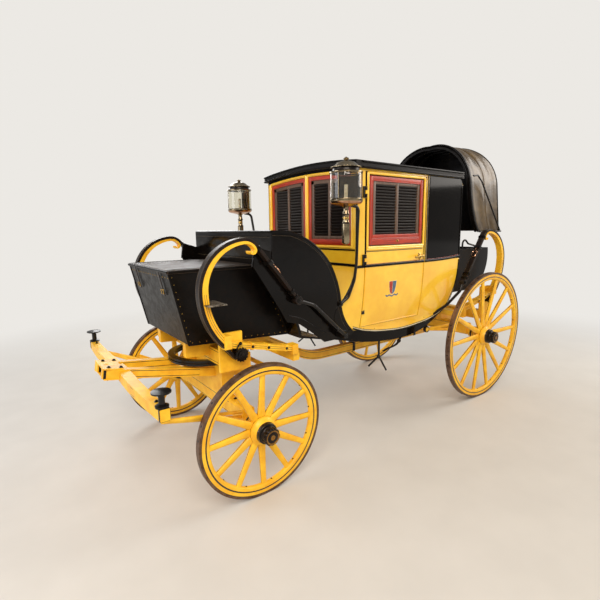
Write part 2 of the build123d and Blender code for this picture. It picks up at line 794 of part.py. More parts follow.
def roof():
    """Flat-domed roof board with a frieze that stands out past the walls."""
    half = body_half + roof_over
    low = frieze_z
    x = (body_rear_x - roof_over, body_front_x + roof_over)
    face = outline((half, low), (half, roof_edge_z), ((0, roof_edge_z + roof_crown), (-half, roof_edge_z)),
                   (-half, low), ((0, low + roof_crown), (half, low)))
    board = cross_plate(face, x)
    hollow = cross_plate(outline((half - roof_over, low - 1), (half - roof_over, roof_edge_z - 6),
                                 ((0, roof_edge_z + roof_crown - roof_thick), (roof_over - half, roof_edge_z - 6)),
                                 (roof_over - half, low - 1)),
                         (body_rear_x + wall, body_front_x - wall))
    corner = board.edges().filter_by(Axis.Z).group_by(Axis.X)[0]
    board = fillet(corner, 70)
    return board - hollow - box((body_rear_x - 60, body_front_x + 1), (-body_half, body_half), (low - 1, low))


def rocker(skirt):
    """Black sill beam under the body's sides."""
    y = (body_half - turn_under - 58, body_half - turn_under + 14)
    face = outline((toe_end[0] - 0.3, toe_end[1]), ((-800, 846), (-960, 806)),
                   ((-1300, sill_z - rocker_deep + 16), (-1640, sill_z - rocker_deep + 2)),
                   ((-1960, sill_z - 22), (-2190, sill_z + 102)), (-2160, 960),
                   (-1800, 900), (-960, 940), (toe_end[0] - 0.3, 940))
    whole = side_plate(face, y) - shell_solid(0) - skirt
    return max(whole.solids(), key=lambda piece: piece.volume)


def seat():
    room = shell_solid(wall + 0.3)
    bench = box((body_rear_x + wall, -1850), (-480, 480), (sill_z, 1160)) & room
    cushion = box((body_rear_x + wall + 30, -1830), (-505, 505), (1160.3, 1270)) & room
    back = box((body_rear_x + wall, body_rear_x + wall + 110), (-505, 505), (1270.3, 1800)) & room
    save("seat_bench", bench)
    save("seat_cushions", cushion, back)


# Dash and boot

def dash():
    """Leather dash with a side wing on each side and the board that closes the foot well below."""
    foot = boot_top_z + lid_thick + 0.3
    front, rear = dash_x + dash_thick / 2, dash_x - dash_thick / 2
    panel = box((rear, front), (-dash_half, dash_half), (foot, dash_top_z))
    wing_face = outline((-60, 1462), (-75, 1585), (dash_x, 1540), (dash_x, dash_top_z), (-350, dash_top_z - 6),
                        ((-570, 1574), (-708, 1434)), ((-786, 1268), (-824, 1118)), ((-890, 984), (-1000, 884)),
                        (-960, 846), (toe_end[0], 846), ((-560, 950), (-440, 1030)), (-330, 1060))
    length = (-1100, 0)
    reach = body_half - dash_half
    sheet = cross_plate(half_width_face(reach, 700, roof_edge_z), length) - cross_plate(
        half_width_face(reach + dash_thick, 699, roof_edge_z + 1), length)
    wing = side_plate(wing_face, (0, dash_half)) & sheet
    skin = dash_thick + 4
    gap = 1
    toe_face = outline((front, foot), (front, foot + skin), (boot_rear_x - gap - skin, foot + skin),
                       (boot_rear_low[0] - gap - skin, boot_rear_low[1] + 6), (toe_end[0], toe_end[1] + dash_thick),
                       toe_end, (boot_rear_low[0] - gap, boot_rear_low[1] - 8),
                       (boot_rear_low[0] - gap, boot_rear_low[1]), (boot_rear_x - gap, boot_top_z),
                       (boot_rear_x - gap, foot))
    toe = side_plate(toe_face, (-dash_half, dash_half)) & cross_plate(half_width_face(reach, 700, roof_edge_z), length)
    return panel + toe + both_sides(wing) - shell_solid(0)


def boot_face(inset):
    fx, fz = boot_front_low
    rx, rz = boot_rear_low
    return outline((boot_front_x - inset, boot_top_z + (1 if inset else 0)), (fx - inset, fz + inset),
                   (rx + inset, rz + inset), (boot_rear_x + inset, boot_top_z + (1 if inset else 0)))


def boot():
    """Box on the front carriage, open at the top under its lid."""
    outer = side_plate(boot_face(0), (-boot_half, boot_half))
    inner = side_plate(boot_face(boot_wall), (boot_wall - boot_half, boot_half - boot_wall))
    strip = box((boot_rear_x, lid_rear_x - lid_gap), (-boot_half, boot_half), (boot_top_z - 14, boot_top_z + lid_thick))
    return outer - inner + strip


def boot_lid():
    """Lid with a lip, hinged along the dash."""
    x = (lid_rear_x, boot_front_x + lid_over)
    lid = box(x, (-boot_half - lid_over, boot_half + lid_over), (boot_top_z + 0.3, boot_top_z + lid_thick))
    return chamfer(lid.edges().group_by(Axis.Z)[-1], 6)


# Lamps

def lamp():
    """Round lamp: finial, cap with its brim above a neck, base dish and candle tube, without its glass."""
    low, high = lamp_glass_z
    r = lamp_glass_r
    cap = turned([(0, high), (r + 5, high), (r + 5, high + 7), (r - 18, high + 10), (r - 18, high + 28),
                  (r - 7, high + 32), (r - 7, high + 38), (r - 22, high + 44), (60, high + 66), (20, high + 78),
                  (12, high + 84), (19, high + 92), (8, lamp_top_z), (0, lamp_top_z)])
    base = turned([(0, low - 40), (42, low - 40), (r - 6, low - 24), (r + 6, low - 8), (r + 6, low), (0, low)])
    tube = turned([(0, lamp_tube_z), (lamp_tube_r, lamp_tube_z), (lamp_tube_r, low - 150), (20, low - 130),
                   (20, low - 100), (lamp_tube_r - 3, low - 90), (18, low - 50), (18, low - 38), (0, low - 38)])
    place = Pos(lamp_at[0], lamp_at[1], 0)
    return place * (cap + base + tube)


def lamp_glass():
    low, high = lamp_glass_z
    return Pos(lamp_at[0], lamp_at[1], 0) * ring(lamp_glass_r, lamp_glass_r - 4, low, high)


def lamp_iron(skirt):
    """Curved iron from the dash's wing up behind the lamp to its base dish."""
    x, y = lamp_at
    base_z = lamp_glass_z[0] - 34
    points = [(-811, dash_half - 7, 1134), (-868, dash_half + 14, 1180), (-903, dash_half + 42, 1311),
              (-905, y - 80, 1437), (x - 133, y - 22, 1680), (x - 120, y, base_z - 8), (x - 50, y, base_z)]
    pad = box((-829, -793), (dash_half - 17, dash_half - 4), (1116, 1152))
    return bent_rod(points, [40, 120, 200, 200, 40], lamp_iron_r) + pad - lamp() - skirt


# Rumble seat and hood

def rumble():
    """Seat for two behind the body, open at the top."""
    outer = outline((rumble_front_x, rumble_floor_z), (rumble_front_x, rumble_top_z), (rumble_rear_x, rumble_top_z),
                    ((rumble_rear_x + 40, 1210), (-2860, rumble_floor_z)))
    inner = outline((rumble_front_x - rumble_wall, rumble_floor_z + rumble_wall),
                    (rumble_front_x - rumble_wall, rumble_top_z + 1),
                    (rumble_rear_x + rumble_wall, rumble_top_z + 1),
                    ((rumble_rear_x + 40 + rumble_wall, 1220), (-2850, rumble_floor_z + rumble_wall)))
    shell = side_plate(outer, (-rumble_half, rumble_half)) - side_plate(
        inner, (rumble_wall - rumble_half, rumble_half - rumble_wall))
    deck = box((-3030, -2640), (rumble_wall - rumble_half, rumble_half - rumble_wall), (1340, 1362))
    return shell + deck


def rumble_cushion():
    pad = box((-3020, -2650), (-430, 430), (1362.3, 1450))
    return fillet(pad.edges().filter_by(Axis.Y), 22)


def rumble_rail():
    """Arm rail on each side with the long bar that the hood stands on."""
    y = rumble_half - 10
    arm = bent_rod([(-2600, y, rumble_top_z), (-2600, y, 1600), (-2700, y, 1520), (-2850, y, 1490),
                    (-2960, y, 1560), (-3060, y, rail_z)], 40, rail_r)
    bar_y = hood_half + rail_r + 0.9
    rail = rod((-2790, bar_y, rail_z), (-3200, bar_y, rail_z), rail_r)
    link = rod((-2960, y - 4, 1560), (-2960, bar_y, rail_z), rail_r - 1)
    return arm + rail + link


def hood_shape(inset):
    """Solid under the hood's leather: its arch in Y and Z cut by its outline seen from the side."""
    side = hood_half - inset
    high = hood_crown_z - inset
    rise = high - hood_foot_z
    arch = outline((side, hood_foot_z - inset), (side - 8, hood_foot_z + rise * 0.52),
                   ((side * 0.74, hood_foot_z + rise * 0.86), (0, high)),
                   ((-side * 0.74, hood_foot_z + rise * 0.86), (8 - side, hood_foot_z + rise * 0.52)),
                   (-side, hood_foot_z - inset))
    ahead = 60 if inset else 0
    low = hood_foot_z - inset
    face = outline((hood_foot_x + ahead, low), ((hood_front_x + 24 + ahead, 2010), (hood_front_x + ahead, 2545)),
                   (hood_rear_x + 100 + inset, 2545), ((-3075 + inset, 2430), (-3120 + inset, 2230)),
                   (hood_rear_x - 108 + inset, low))
    return side_plate(face, (-hood_half, hood_half)) & cross_plate(arch, (-3300, -2400))


def hood():
    """Leather hood, open to the front and below."""
    return hood_shape(0) - hood_shape(hood_thick)


def hood_iron():
    y = hood_half + 20
    points = [(-2600, y, 2180), (-2680, y, 2190), (-2760, y, 2130), (-2930, y, 1930), (-3160, y, rail_z + 10)]
    return bent_rod(points, 40, hood_iron_r) - rumble_rail()


def body_irons(ends, sill, skirt):
    """Curved irons under the body's corners that the straps hang it by."""
    front, rear = ends["front"]["brace"], ends["rear"]["brace"]
    y = spring_y
    reach = bent_rod([(front.X, y, front.Y), (-525, y, 1165), (-823, y, 898)], 150, 13)
    lug = box((-842, -804), (dash_half - 70, y + 14), (874, 914)) - skirt
    eye = Pos(front.X, y, front.Y) * Rot(90, 0, 0) * Cylinder(eye_r, brace_wide)
    back = bent_rod([(rear.X, y, rear.Y), (-2330, y, 1085), (-2180, y - 40, 960), (-2040, 540, 880)],
                    [60, 90], 13)
    back_eye = Pos(rear.X, y, rear.Y) * Rot(90, 0, 0) * Cylinder(eye_r, brace_wide)
    shell = shell_solid(0)
    return [reach + lug + eye - sill - shell, back + back_eye - shell - sill]


def rumble_iron():
    """Iron under each side of the rumble, bolted under the body's rear corner."""
    points = [(-2880, 420, rumble_floor_z - 12), (-2330, 420, rumble_floor_z - 12), (-2100, 420, 925)]
    return bent_rod(points, 150, 12) - shell_solid(0)


def door_handle():
    """Lever handle on the door's outer face."""
    x = door_rear_x + door_rear_gap + 60
    stem = Pos(x, body_half + 16, handle_z) * Rot(90, 0, 0) * Cylinder(8, 32)
    rose = Pos(x, body_half + 3, handle_z) * Rot(90, 0, 0) * Cylinder(24, 6)
    lever = bar((x - 22, body_half + 34, handle_z), (x + 96, body_half + 34, handle_z - 4), 12, 22)
    return stem + rose + lever


wheels()
ends = springs()
save("spring_steps", *both_sides(spring_step(ends["front"])))
save("perch", perch())
save("transom", transom(ends))
save("rear_axle", rear_carriage(ends))
save("rear_stays", *both_sides(stay_fork()))
save("upper_ring", plate_ring(ring_z + ring_gap, ring_thick))
fore_frame = futchells()
save("front_axle", fore_bed(fore_frame))
save("lower_ring", plate_ring(ring_z - ring_thick, ring_thick))
save("futchells", fore_frame)
save("splinter_bar", splinter_bar(fore_frame))
save("roller_bolts", *both_sides(roller_bolt()))
save("fore_stays", *both_sides(fore_stays()))
body()
save("roof", roof())
skirt = dash()
sill = rocker(skirt)
save("rockers", *both_sides(sill))
save("drag_forks", *both_sides(drag_fork(sill)))
seat()
save("dash", skirt)
save("boot", boot())
save("boot_lid", boot_lid())
save("lamps", *both_sides(lamp()))
save("lamp_glasses", *both_sides(lamp_glass()))
save("lamp_irons", *both_sides(lamp_iron(skirt)))
save("rumble_seat", rumble())
save("rumble_cushion", rumble_cushion())
save("rumble_rails", *both_sides(rumble_rail()))
save("hood", hood())
save("hood_irons", *both_sides(hood_iron()))
front_iron, rear_iron = body_irons(ends, sill, skirt)
save("body_irons", *both_sides(front_iron), *both_sides(rear_iron))
save("rumble_irons", *both_sides(rumble_iron()))
handle = door_handle()
save("left_door_handle", handle)
save("right_door_handle", mirrored(handle))
print(len(saved), "nodes")
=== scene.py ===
import bpy, json, math
import numpy as np
from mathutils import Matrix

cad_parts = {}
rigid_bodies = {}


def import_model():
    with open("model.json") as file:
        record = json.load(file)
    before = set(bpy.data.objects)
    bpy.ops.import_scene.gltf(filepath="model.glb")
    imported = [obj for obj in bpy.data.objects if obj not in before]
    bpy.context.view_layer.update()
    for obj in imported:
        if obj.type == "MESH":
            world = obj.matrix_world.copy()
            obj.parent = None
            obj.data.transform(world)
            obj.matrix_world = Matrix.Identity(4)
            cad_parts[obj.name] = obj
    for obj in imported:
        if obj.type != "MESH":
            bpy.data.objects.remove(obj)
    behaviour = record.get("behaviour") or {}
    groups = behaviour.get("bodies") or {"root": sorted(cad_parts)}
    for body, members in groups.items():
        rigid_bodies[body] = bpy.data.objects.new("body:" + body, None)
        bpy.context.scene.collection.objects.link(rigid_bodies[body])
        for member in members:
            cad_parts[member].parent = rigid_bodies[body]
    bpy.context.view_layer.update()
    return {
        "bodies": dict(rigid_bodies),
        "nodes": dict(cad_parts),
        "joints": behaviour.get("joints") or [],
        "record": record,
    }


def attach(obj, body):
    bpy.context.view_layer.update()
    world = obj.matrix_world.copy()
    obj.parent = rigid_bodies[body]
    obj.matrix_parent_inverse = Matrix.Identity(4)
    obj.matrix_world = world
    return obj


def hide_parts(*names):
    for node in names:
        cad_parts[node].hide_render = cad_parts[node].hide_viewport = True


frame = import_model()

# The tables below are in millimetres, X forward from the front axle, Y to the coach's left, Z up.
frontAxleX = 1221.0
toFront, toLeft, toTop = (1.0, 0, 0), (0, 1.0, 0), (0, 0, 1.0)


def toFrame(points):
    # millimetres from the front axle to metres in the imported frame
    return (np.asarray(points, float) + (frontAxleX, 0, 0)) / 1000


def gridFaces(rows, cols, closeRows=False, closeCols=False, flip=False):
    # quad (i, j) joins the grid's corners (i, j), (i, j+1), (i+1, j+1), (i+1, j)
    i = np.arange(rows if closeRows else rows - 1)[:, None]
    j = np.arange(cols if closeCols else cols - 1)[None, :]
    k, m = (i + 1) % rows, (j + 1) % cols
    quads = np.stack([i * cols + j, i * cols + m, k * cols + m, k * cols + j], -1).reshape(-1, 4)
    return quads[:, ::-1] if flip else quads


def joinParts(parts):
    # parts are (corners, list of faces, paint index of each face); they become one set
    corners, faces, paints, start = [], [], [], 0
    for points, quads, paint in parts:
        points = np.asarray(points, float)
        rows = [[int(n) + start for n in row] for row in quads]
        faces += rows
        paints += [int(paint)] * len(rows) if np.isscalar(paint) else [int(n) for n in paint]
        corners.append(points)
        start += len(points)
    return np.concatenate(corners), faces, paints


def mirrored(parts):
    # the same shapes on the coach's other side: Y changes sign and each face turns round
    return [(np.asarray(p) * (1, -1, 1), [list(row)[::-1] for row in f], m) for p, f, m in parts]


def bothSides(parts):
    # the parts and their mirror images
    return list(parts) + mirrored(parts)


def putMesh(name, parts, paints, body, angle=35, covers=()):
    # the parts become one piece on a body, smooth except where two faces meet at more than the angle
    corners, faces, paintIndex = joinParts(parts)
    mesh = bpy.data.meshes.new(name)
    mesh.from_pydata(toFrame(corners).tolist(), [], faces)
    for paint in paints:
        mesh.materials.append(paint)
    mesh.polygons.foreach_set("material_index", paintIndex)
    piece = bpy.data.objects.new(name, mesh)
    bpy.context.scene.collection.objects.link(piece)
    mesh.shade_smooth()
    mesh.set_sharp_from_angle(angle=math.radians(angle))
    mesh.validate()
    mesh.update()
    if covers:
        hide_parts(*covers)
    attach(piece, body)
    return piece


def putPair(name, parts, paints, node=None):
    # the left door's parts, and their mirror images on the right door
    for side, shapes in (("left", parts), ("right", mirrored(parts))):
        putMesh(side + name, shapes, paints, side + "_door", covers=[side + node] if node else ())


def unit(v):
    # each vector divided by its length
    v = np.asarray(v, float)
    return v / np.maximum(np.linalg.norm(v, axis=-1, keepdims=True), 1e-9)


def carry(profile, path, across, paint=0, closed=False, grow=None, caps=True):
    # each profile point (u, v) goes to path + u * side + v * rise, where side is the part of
    # `across` at right angles to the path and rise is the path's direction crossed with side
    profile, path = np.asarray(profile, float), np.asarray(path, float)
    if closed:
        along = np.roll(path, -1, 0) - np.roll(path, 1, 0)
    else:
        along = np.gradient(path, axis=0)
    along = unit(along)
    side = np.broadcast_to(np.asarray(across, float), path.shape)
    side = unit(side - (side * along).sum(1, keepdims=True) * along)
    rise = np.cross(along, side)
    size = np.ones(len(path)) if grow is None else np.asarray(grow, float)
    size = size[:, None] if size.ndim == 1 else size
    sizeU, sizeV = size[:, 0], size[:, -1]
    shape = (path[:, None] + (profile[None, :, 0] * sizeU[:, None])[..., None] * side[:, None]
            + (profile[None, :, 1] * sizeV[:, None])[..., None] * rise[:, None])
    rows, cols = len(path), len(profile)
    faces = gridFaces(rows, cols, closed, True).tolist()
    tint = np.tile(np.broadcast_to(paint, cols), rows if closed else rows - 1).tolist()
    if caps and not closed:
        faces += [list(range(cols))[::-1], [(rows - 1) * cols + n for n in range(cols)]]
        end = int(np.broadcast_to(paint, cols)[0])
        tint += [end, end]
    return shape.reshape(-1, 3), faces, tint


def lathe(profile, origin, axis, count=48, paint=0, shut=True, turn=None):
    # profile points (r, h) turn round the axis: origin + h * axis + r * (cos a * first + sin a * second)
    profile, axis = np.asarray(profile, float), unit(axis)
    first = unit(np.cross(axis, (0.0, 0.0, 1.0) if abs(axis[2]) < 0.9 else (1.0, 0.0, 0.0)))
    second = np.cross(axis, first)
    turn = np.arange(count) * 2 * math.pi / count if turn is None else np.asarray(turn)
    count = len(turn)
    ring = np.cos(turn)[:, None] * first + np.sin(turn)[:, None] * second
    shape = (np.asarray(origin, float) + profile[:, None, 1, None] * axis
            + profile[:, None, 0, None] * ring[None])
    rows = len(profile)
    faces = gridFaces(rows, count, False, True).tolist()
    tint = np.repeat(np.broadcast_to(paint, rows - 1), count).tolist()
    if shut:
        faces += [list(range(count))[::-1], [(rows - 1) * count + n for n in range(count)]]
        tint += [int(np.broadcast_to(paint, rows - 1)[0]), int(np.broadcast_to(paint, rows - 1)[-1])]
    return shape.reshape(-1, 3), faces, tint


def roundBar(r, count=12):
    # circle: r times the cosine and sine of each angle
    a = np.arange(count) * 2 * math.pi / count
    return np.stack([r * np.cos(a), r * np.sin(a)], 1)


def softBar(wide, deep, edge=2.0):
    # rectangle with its corners cut by two short steps
    a, b, e, h = wide / 2, deep / 2, edge, edge * 0.3
    corner = [(a, b - e), (a - h, b - h), (a - e, b)]
    second = [(-a + e, b), (-a + h, b - h), (-a, b - e)]
    return np.array(corner + second + [(-x, -y) for x, y in corner] + [(-x, -y) for x, y in second])


def bead(wide, high, count=9, sink=1.5):
    # half-round moulding, its flat back sunk into what it sits on
    a = np.linspace(0, math.pi, count)
    return np.concatenate([[(wide / 2, -sink)], np.stack([wide / 2 * np.cos(a), high * np.sin(a)], 1),
            [(-wide / 2, -sink)]])


def arcPoints(a, b, c, count=12):
    # points on the circle through a, b and c, from a to c, in their own plane of two numbers
    (ax, ay), (bx, by), (cx, cy) = a, b, c
    d = 2 * (ax * (by - cy) + bx * (cy - ay) + cx * (ay - by))
    ux = ((ax**2 + ay**2) * (by - cy) + (bx**2 + by**2) * (cy - ay) + (cx**2 + cy**2) * (ay - by)) / d
    uy = ((ax**2 + ay**2) * (cx - bx) + (bx**2 + by**2) * (ax - cx) + (cx**2 + cy**2) * (bx - ax)) / d
    r = math.hypot(ax - ux, ay - uy)
    t0, t1, t2 = (math.atan2(y - uy, x - ux) for x, y in ((ax, ay), (bx, by), (cx, cy)))
    turn = lambda t: (t - t0) % (2 * math.pi)
    end = turn(t2) if turn(t1) < turn(t2) else turn(t2) - 2 * math.pi
    t = t0 + np.linspace(0, end, count)
    return np.stack([ux + r * np.cos(t), uy + r * np.sin(t)], 1)


def outline(start, *steps, count=12):
    # a step is a point, or a pair (point on the arc, end of the arc)
    points = [np.array([start], float)]
    for step in steps:
        here = points[-1][-1]
        if isinstance(step[0], tuple):
            points.append(arcPoints(tuple(here), step[0], step[1], count)[1:])
        else:
            points.append(np.array([step], float))
    return np.concatenate(points)


def arcChain(start, heading, steps, spacing=6.0):
    # tangent arcs (radius, turn in degrees, positive to the left) and straight runs (0, length)
    points, here, a = [np.array(start, float)], np.array(start, float), math.atan2(heading[1], heading[0])
    for radius, turn in steps:
        if radius == 0:
            count = max(2, int(turn / spacing))
            run = np.linspace(0, turn, count + 1)[1:, None] * (math.cos(a), math.sin(a))
            points += list(here + run)
        else:
            side = 1 if turn > 0 else -1
            centre = here + radius * side * np.array([-math.sin(a), math.cos(a)])
            swing = math.radians(turn)
            count = max(3, int(abs(swing) * radius / spacing))
            t = a - side * math.pi / 2 + np.linspace(0, swing, count + 1)[1:]
            points += list(centre + radius * np.stack([np.cos(t), np.sin(t)], 1))
            a += swing
        here = points[-1]
    return np.array(points), np.array([math.cos(a), math.sin(a)])


def smoothPath(points, count=10):
    # a cubic for each span, its slope at a point half the step between the point's neighbours
    p = np.asarray(points, float)
    p = np.concatenate([[2 * p[0] - p[1]], p, [2 * p[-1] - p[-2]]])
    t = np.linspace(0, 1, count, endpoint=False)[:, None]
    spans = [0.5 * (2 * b + (c - a) * t + (2 * a - 5 * b + 4 * c - d) * t**2 + (3 * b - a - 3 * c + d) * t**3)
            for a, b, c, d in zip(p, p[1:], p[2:], p[3:])]
    return np.concatenate(spans + [p[-2:-1]])


def layBead(profile, path, outward, paint=0, closed=False, grow=None, caps=True):
    # a profile carried along a path on a surface, its second number measured along the outward normal
    path = np.asarray(path, float)
    along = np.roll(path, -1, 0) - np.roll(path, 1, 0) if closed else np.gradient(path, axis=0)
    across = np.cross(np.broadcast_to(np.asarray(outward, float), path.shape), unit(along))
    return carry(profile, path, across, paint, closed, grow, caps)


def sideY(z, out=597.0):
    # half-width of the body at a height: upright above the belt, a circular arc below it
    ring = arcPoints((out, 1400), (out - 18.9, 1095.8), (out - 70, 815), 60)
    return np.where(np.asarray(z) >= 1400, out, np.interp(z, ring[::-1, 1], ring[::-1, 0]))


def onSide(points, out=597.0, lift=0.0):
    # points of X and Z laid on the body's side
    points = np.asarray(points, float)
    return inXz(points, sideY(points[:, 1], out) + lift)


def roundedFrame(low, high, radius, steps=6):
    # closed rectangle of two numbers with round corners, anticlockwise
    (a, b), (c, d) = low, high
    t = np.linspace(0, math.pi / 2, steps)
    corners = ((c - radius, b + radius, -90), (c - radius, d - radius, 0), (a + radius, d - radius, 90),
            (a + radius, b + radius, 180))
    return np.concatenate([np.stack([x + radius * np.cos(t + math.radians(s)),
            y + radius * np.sin(t + math.radians(s))], 1) for x, y, s in corners])


def buckle(at, out, along, half, radius, bar, paint, steps=4):
    # wire bent to a rounded rectangle that lies on a strap, its short sides along the strap
    flat = roundedFrame((-half[0], -half[1]), half, radius, steps)
    return layBead(bar, at + flat[:, :1] * np.array(toLeft) + flat[:, 1:] * along, out, paint, True)


def stitchRow(path, outward, length=7.0, gap=5.0, wide=1.6, high=0.9, paint=0):
    # short waxed stitches along a path: each is a low six-cornered loaf standing on the surface
    path, outward = np.asarray(path, float), np.broadcast_to(np.asarray(outward, float), np.shape(path))
    run = np.concatenate([[0], np.cumsum(np.linalg.norm(np.diff(path, axis=0), axis=1))])
    at = np.arange(gap, run[-1] - length, length + gap) + length / 2
    pick = lambda table: np.stack([np.interp(at, run, table[:, k]) for k in range(3)], 1)
    middle, normal, along = pick(path), unit(pick(outward)), unit(pick(np.gradient(path, run, axis=0)))
    side = np.cross(normal, along)
    shape = np.array([(-0.5, -0.5, -0.3), (0.5, -0.5, -0.3), (0.5, 0.5, -0.3), (-0.5, 0.5, -0.3),
            (-0.25, 0, 1), (0.25, 0, 1)])
    corners = (middle[:, None] + shape[None, :, 0, None] * length * along[:, None]
            + shape[None, :, 1, None] * wide * side[:, None] + shape[None, :, 2, None] * high * normal[:, None])
    base = [[3, 2, 1, 0], [0, 1, 5, 4], [2, 3, 4, 5], [1, 2, 5], [3, 0, 4]]
    faces = [[n + 6 * k for n in row] for k in range(len(at)) for row in base]
    return corners.reshape(-1, 3), faces, paint


def xyz(x, y, z):
    # three columns side by side; a number fills its whole column
    return np.stack(np.broadcast_arrays(x, y, z), -1).astype(float)


def circle(at, r, count, first=toFront, second=toTop):
    # at + r * (cos a * first + sin a * second)
    a = np.linspace(0, 2 * math.pi, count, endpoint=False)[:, None]
    return np.asarray(at, float) + r * (np.cos(a) * np.asarray(first) + np.sin(a) * np.asarray(second))


def runs(*rows):
    # straight runs one after another, each given as its start, its end and a count of even steps
    return np.concatenate([np.linspace(a, b, count) for a, b, count in rows])


def inXz(points, y):
    # points of X and Z set at one Y, or at a Y for each
    points = np.asarray(points, float)
    return np.stack([points[:, 0], np.broadcast_to(y, len(points)), points[:, 1]], 1)


def block(low, high, paint=0, edge=1.5):
    # slab with its long edges eased, carried along its longest side
    low, high = np.minimum(low, high).astype(float), np.maximum(low, high).astype(float)
    size, middle = high - low, (low + high) / 2
    k = int(np.argmax(size))
    i, j = [n for n in range(3) if n != k]
    path = np.tile(middle, (4, 1))
    e = min(edge, size.min() * 0.3)
    path[:, k] = [low[k], low[k] + e, high[k] - e, high[k]]
    across = np.zeros(3)
    across[i] = 1
    grow = np.array([[1 - 2 * e / size[i], 1 - 2 * e / size[j]], [1, 1], [1, 1],
            [1 - 2 * e / size[i], 1 - 2 * e / size[j]]])
    return carry(softBar(size[i], size[j], e), path, across, paint, grow=grow)


def dome(at, out, r, high, paint=0, count=12, rows=4):
    # button: a quarter ellipse turned round the outward direction
    a = np.linspace(0, math.pi / 2, rows)
    profile = np.concatenate([[(r, -1.5)], np.stack([r * np.cos(a), high * np.sin(a)], 1)[:-1], [(r * 0.12, high)]])
    return lathe(profile, at, out, count, paint)


def nut(at, out, r=8, high=6, paint=0, washer=1.45):
    # six-sided nut on a round washer with the bolt's end showing
    plate = lathe([(r * washer, -1), (r * washer, 1.4), (r * 0.9, 1.8)], at, out, 16, paint)
    body = lathe([(r * 0.9, 0), (r, 1.5), (r, high - 1), (r * 0.86, high)], at, out, 6, paint)
    end = lathe([(r * 0.5, high - 1), (r * 0.5, high + 2), (r * 0.34, high + 3)], at, out, 10, paint)
    return [plate, body, end]


print("helpers ready")

# Finishes: what a finish shares with its kind is in the kind's own base

def linearRgb(hexCode):
    # screen value to linear: over 0.04045 it is (value + 0.055) / 1.055 to the power 2.4
    value = np.array([int(hexCode[n:n + 2], 16) for n in (1, 3, 5)]) / 255
    return [*np.where(value <= 0.04045, value / 12.92, ((value + 0.055) / 1.055) ** 2.4).tolist(), 1.0]


def addNode(tree, kind, settings=None, links=None):
    # settings are inputs by name or number, or the node's own options; links are {input: (node, output)}
    node = tree.nodes.new("ShaderNode" + kind)
    for key, value in (settings or {}).items():
        if isinstance(key, str) and hasattr(node, key):
            setattr(node, key, value)
        else:
            node.inputs[key].default_value = value
    for key, (source, output) in (links or {}).items():
        tree.links.new(source.outputs[output], node.inputs[key])
    return node


def feed(tree, surface, socket, source, output):
    # one of the shader's sockets takes another node's output
    tree.links.new(source.outputs[output], surface.inputs[socket])


def newFinish(name, **shader):
    # the shader's own sockets take every value that is the same all over
    material = bpy.data.materials.new(name)
    material.use_nodes = True
    tree = material.node_tree
    tree.nodes.clear()
    surface = addNode(tree, "BsdfPrincipled", shader)
    addNode(tree, "OutputMaterial", {}, {"Surface": (surface, "BSDF")})
    return material, tree, surface


def mixColours(tree, factor, low, high, steps=(0.35, 0.65)):
    # ramp from the low colour to the high one between two values of the factor
    ramp = addNode(tree, "ValToRGB", {}, {"Fac": factor})
    ramp.color_ramp.elements[0].position, ramp.color_ramp.elements[1].position = steps
    ramp.color_ramp.elements[0].color = linearRgb(low)
    ramp.color_ramp.elements[1].color = linearRgb(high)
    return ramp


paintBase = {"driftMm": 40, "speckMm": 9, "speckSteps": (0.70, 0.85), "brushMm": 3, "bump": 0.05, "coat": 0.0,
        "coatRough": 0.1, "ior": 1.5}


def paintFinish(name, look):
    # brushed and varnished coach paint: slow colour drift, faint vertical brush marks, dust, a deep clear coat
    look = {**paintBase, **look}
    material, tree, surface = newFinish(name, **{"Roughness": look["rough"], "Coat Weight": look["coat"],
            "Coat Roughness": look["coatRough"], "IOR": look["ior"]})
    place = addNode(tree, "TexCoord")
    drift = addNode(tree, "TexNoise", {"Scale": 1000 / look["driftMm"], "Detail": 4.0, "Roughness": 0.6},
            {"Vector": (place, "Object")})
    ramp = mixColours(tree, (drift, "Fac"), look["dark"], look["light"])
    speck = addNode(tree, "TexNoise", {"Scale": 1000 / look["speckMm"], "Detail": 6.0, "Roughness": 0.7},
            {"Vector": (place, "Object")})
    chips = addNode(tree, "ValToRGB", {}, {"Fac": (speck, "Fac")})
    chips.color_ramp.elements[0].position, chips.color_ramp.elements[1].position = look["speckSteps"]
    colour = addNode(tree, "MixRGB", {"Color2": linearRgb(look["speck"])},
            {"Fac": (chips, "Color"), "Color1": (ramp, "Color")})
    feed(tree, surface, "Base Color", colour, "Color")
    stretch = addNode(tree, "Mapping", {"Scale": (1000 / look["brushMm"], 1000 / look["brushMm"], 14.0)},
            {"Vector": (place, "Object")})
    brush = addNode(tree, "TexNoise", {"Scale": 1.0, "Detail": 3.0}, {"Vector": (stretch, "Vector")})
    bump = addNode(tree, "Bump", {"Strength": look["bump"], "Distance": 0.0006}, {"Height": (brush, "Fac")})
    feed(tree, surface, "Normal", bump, "Normal")
    return material


hideBase = {"steps": (0.30, 0.76), "grainMm": 4.0, "twist": 0.8, "grainShare": 0.12, "bump": 0.35, "deep": 0.002,
        "coat": 0.0, "coatRough": 0.25, "ior": 1.5}


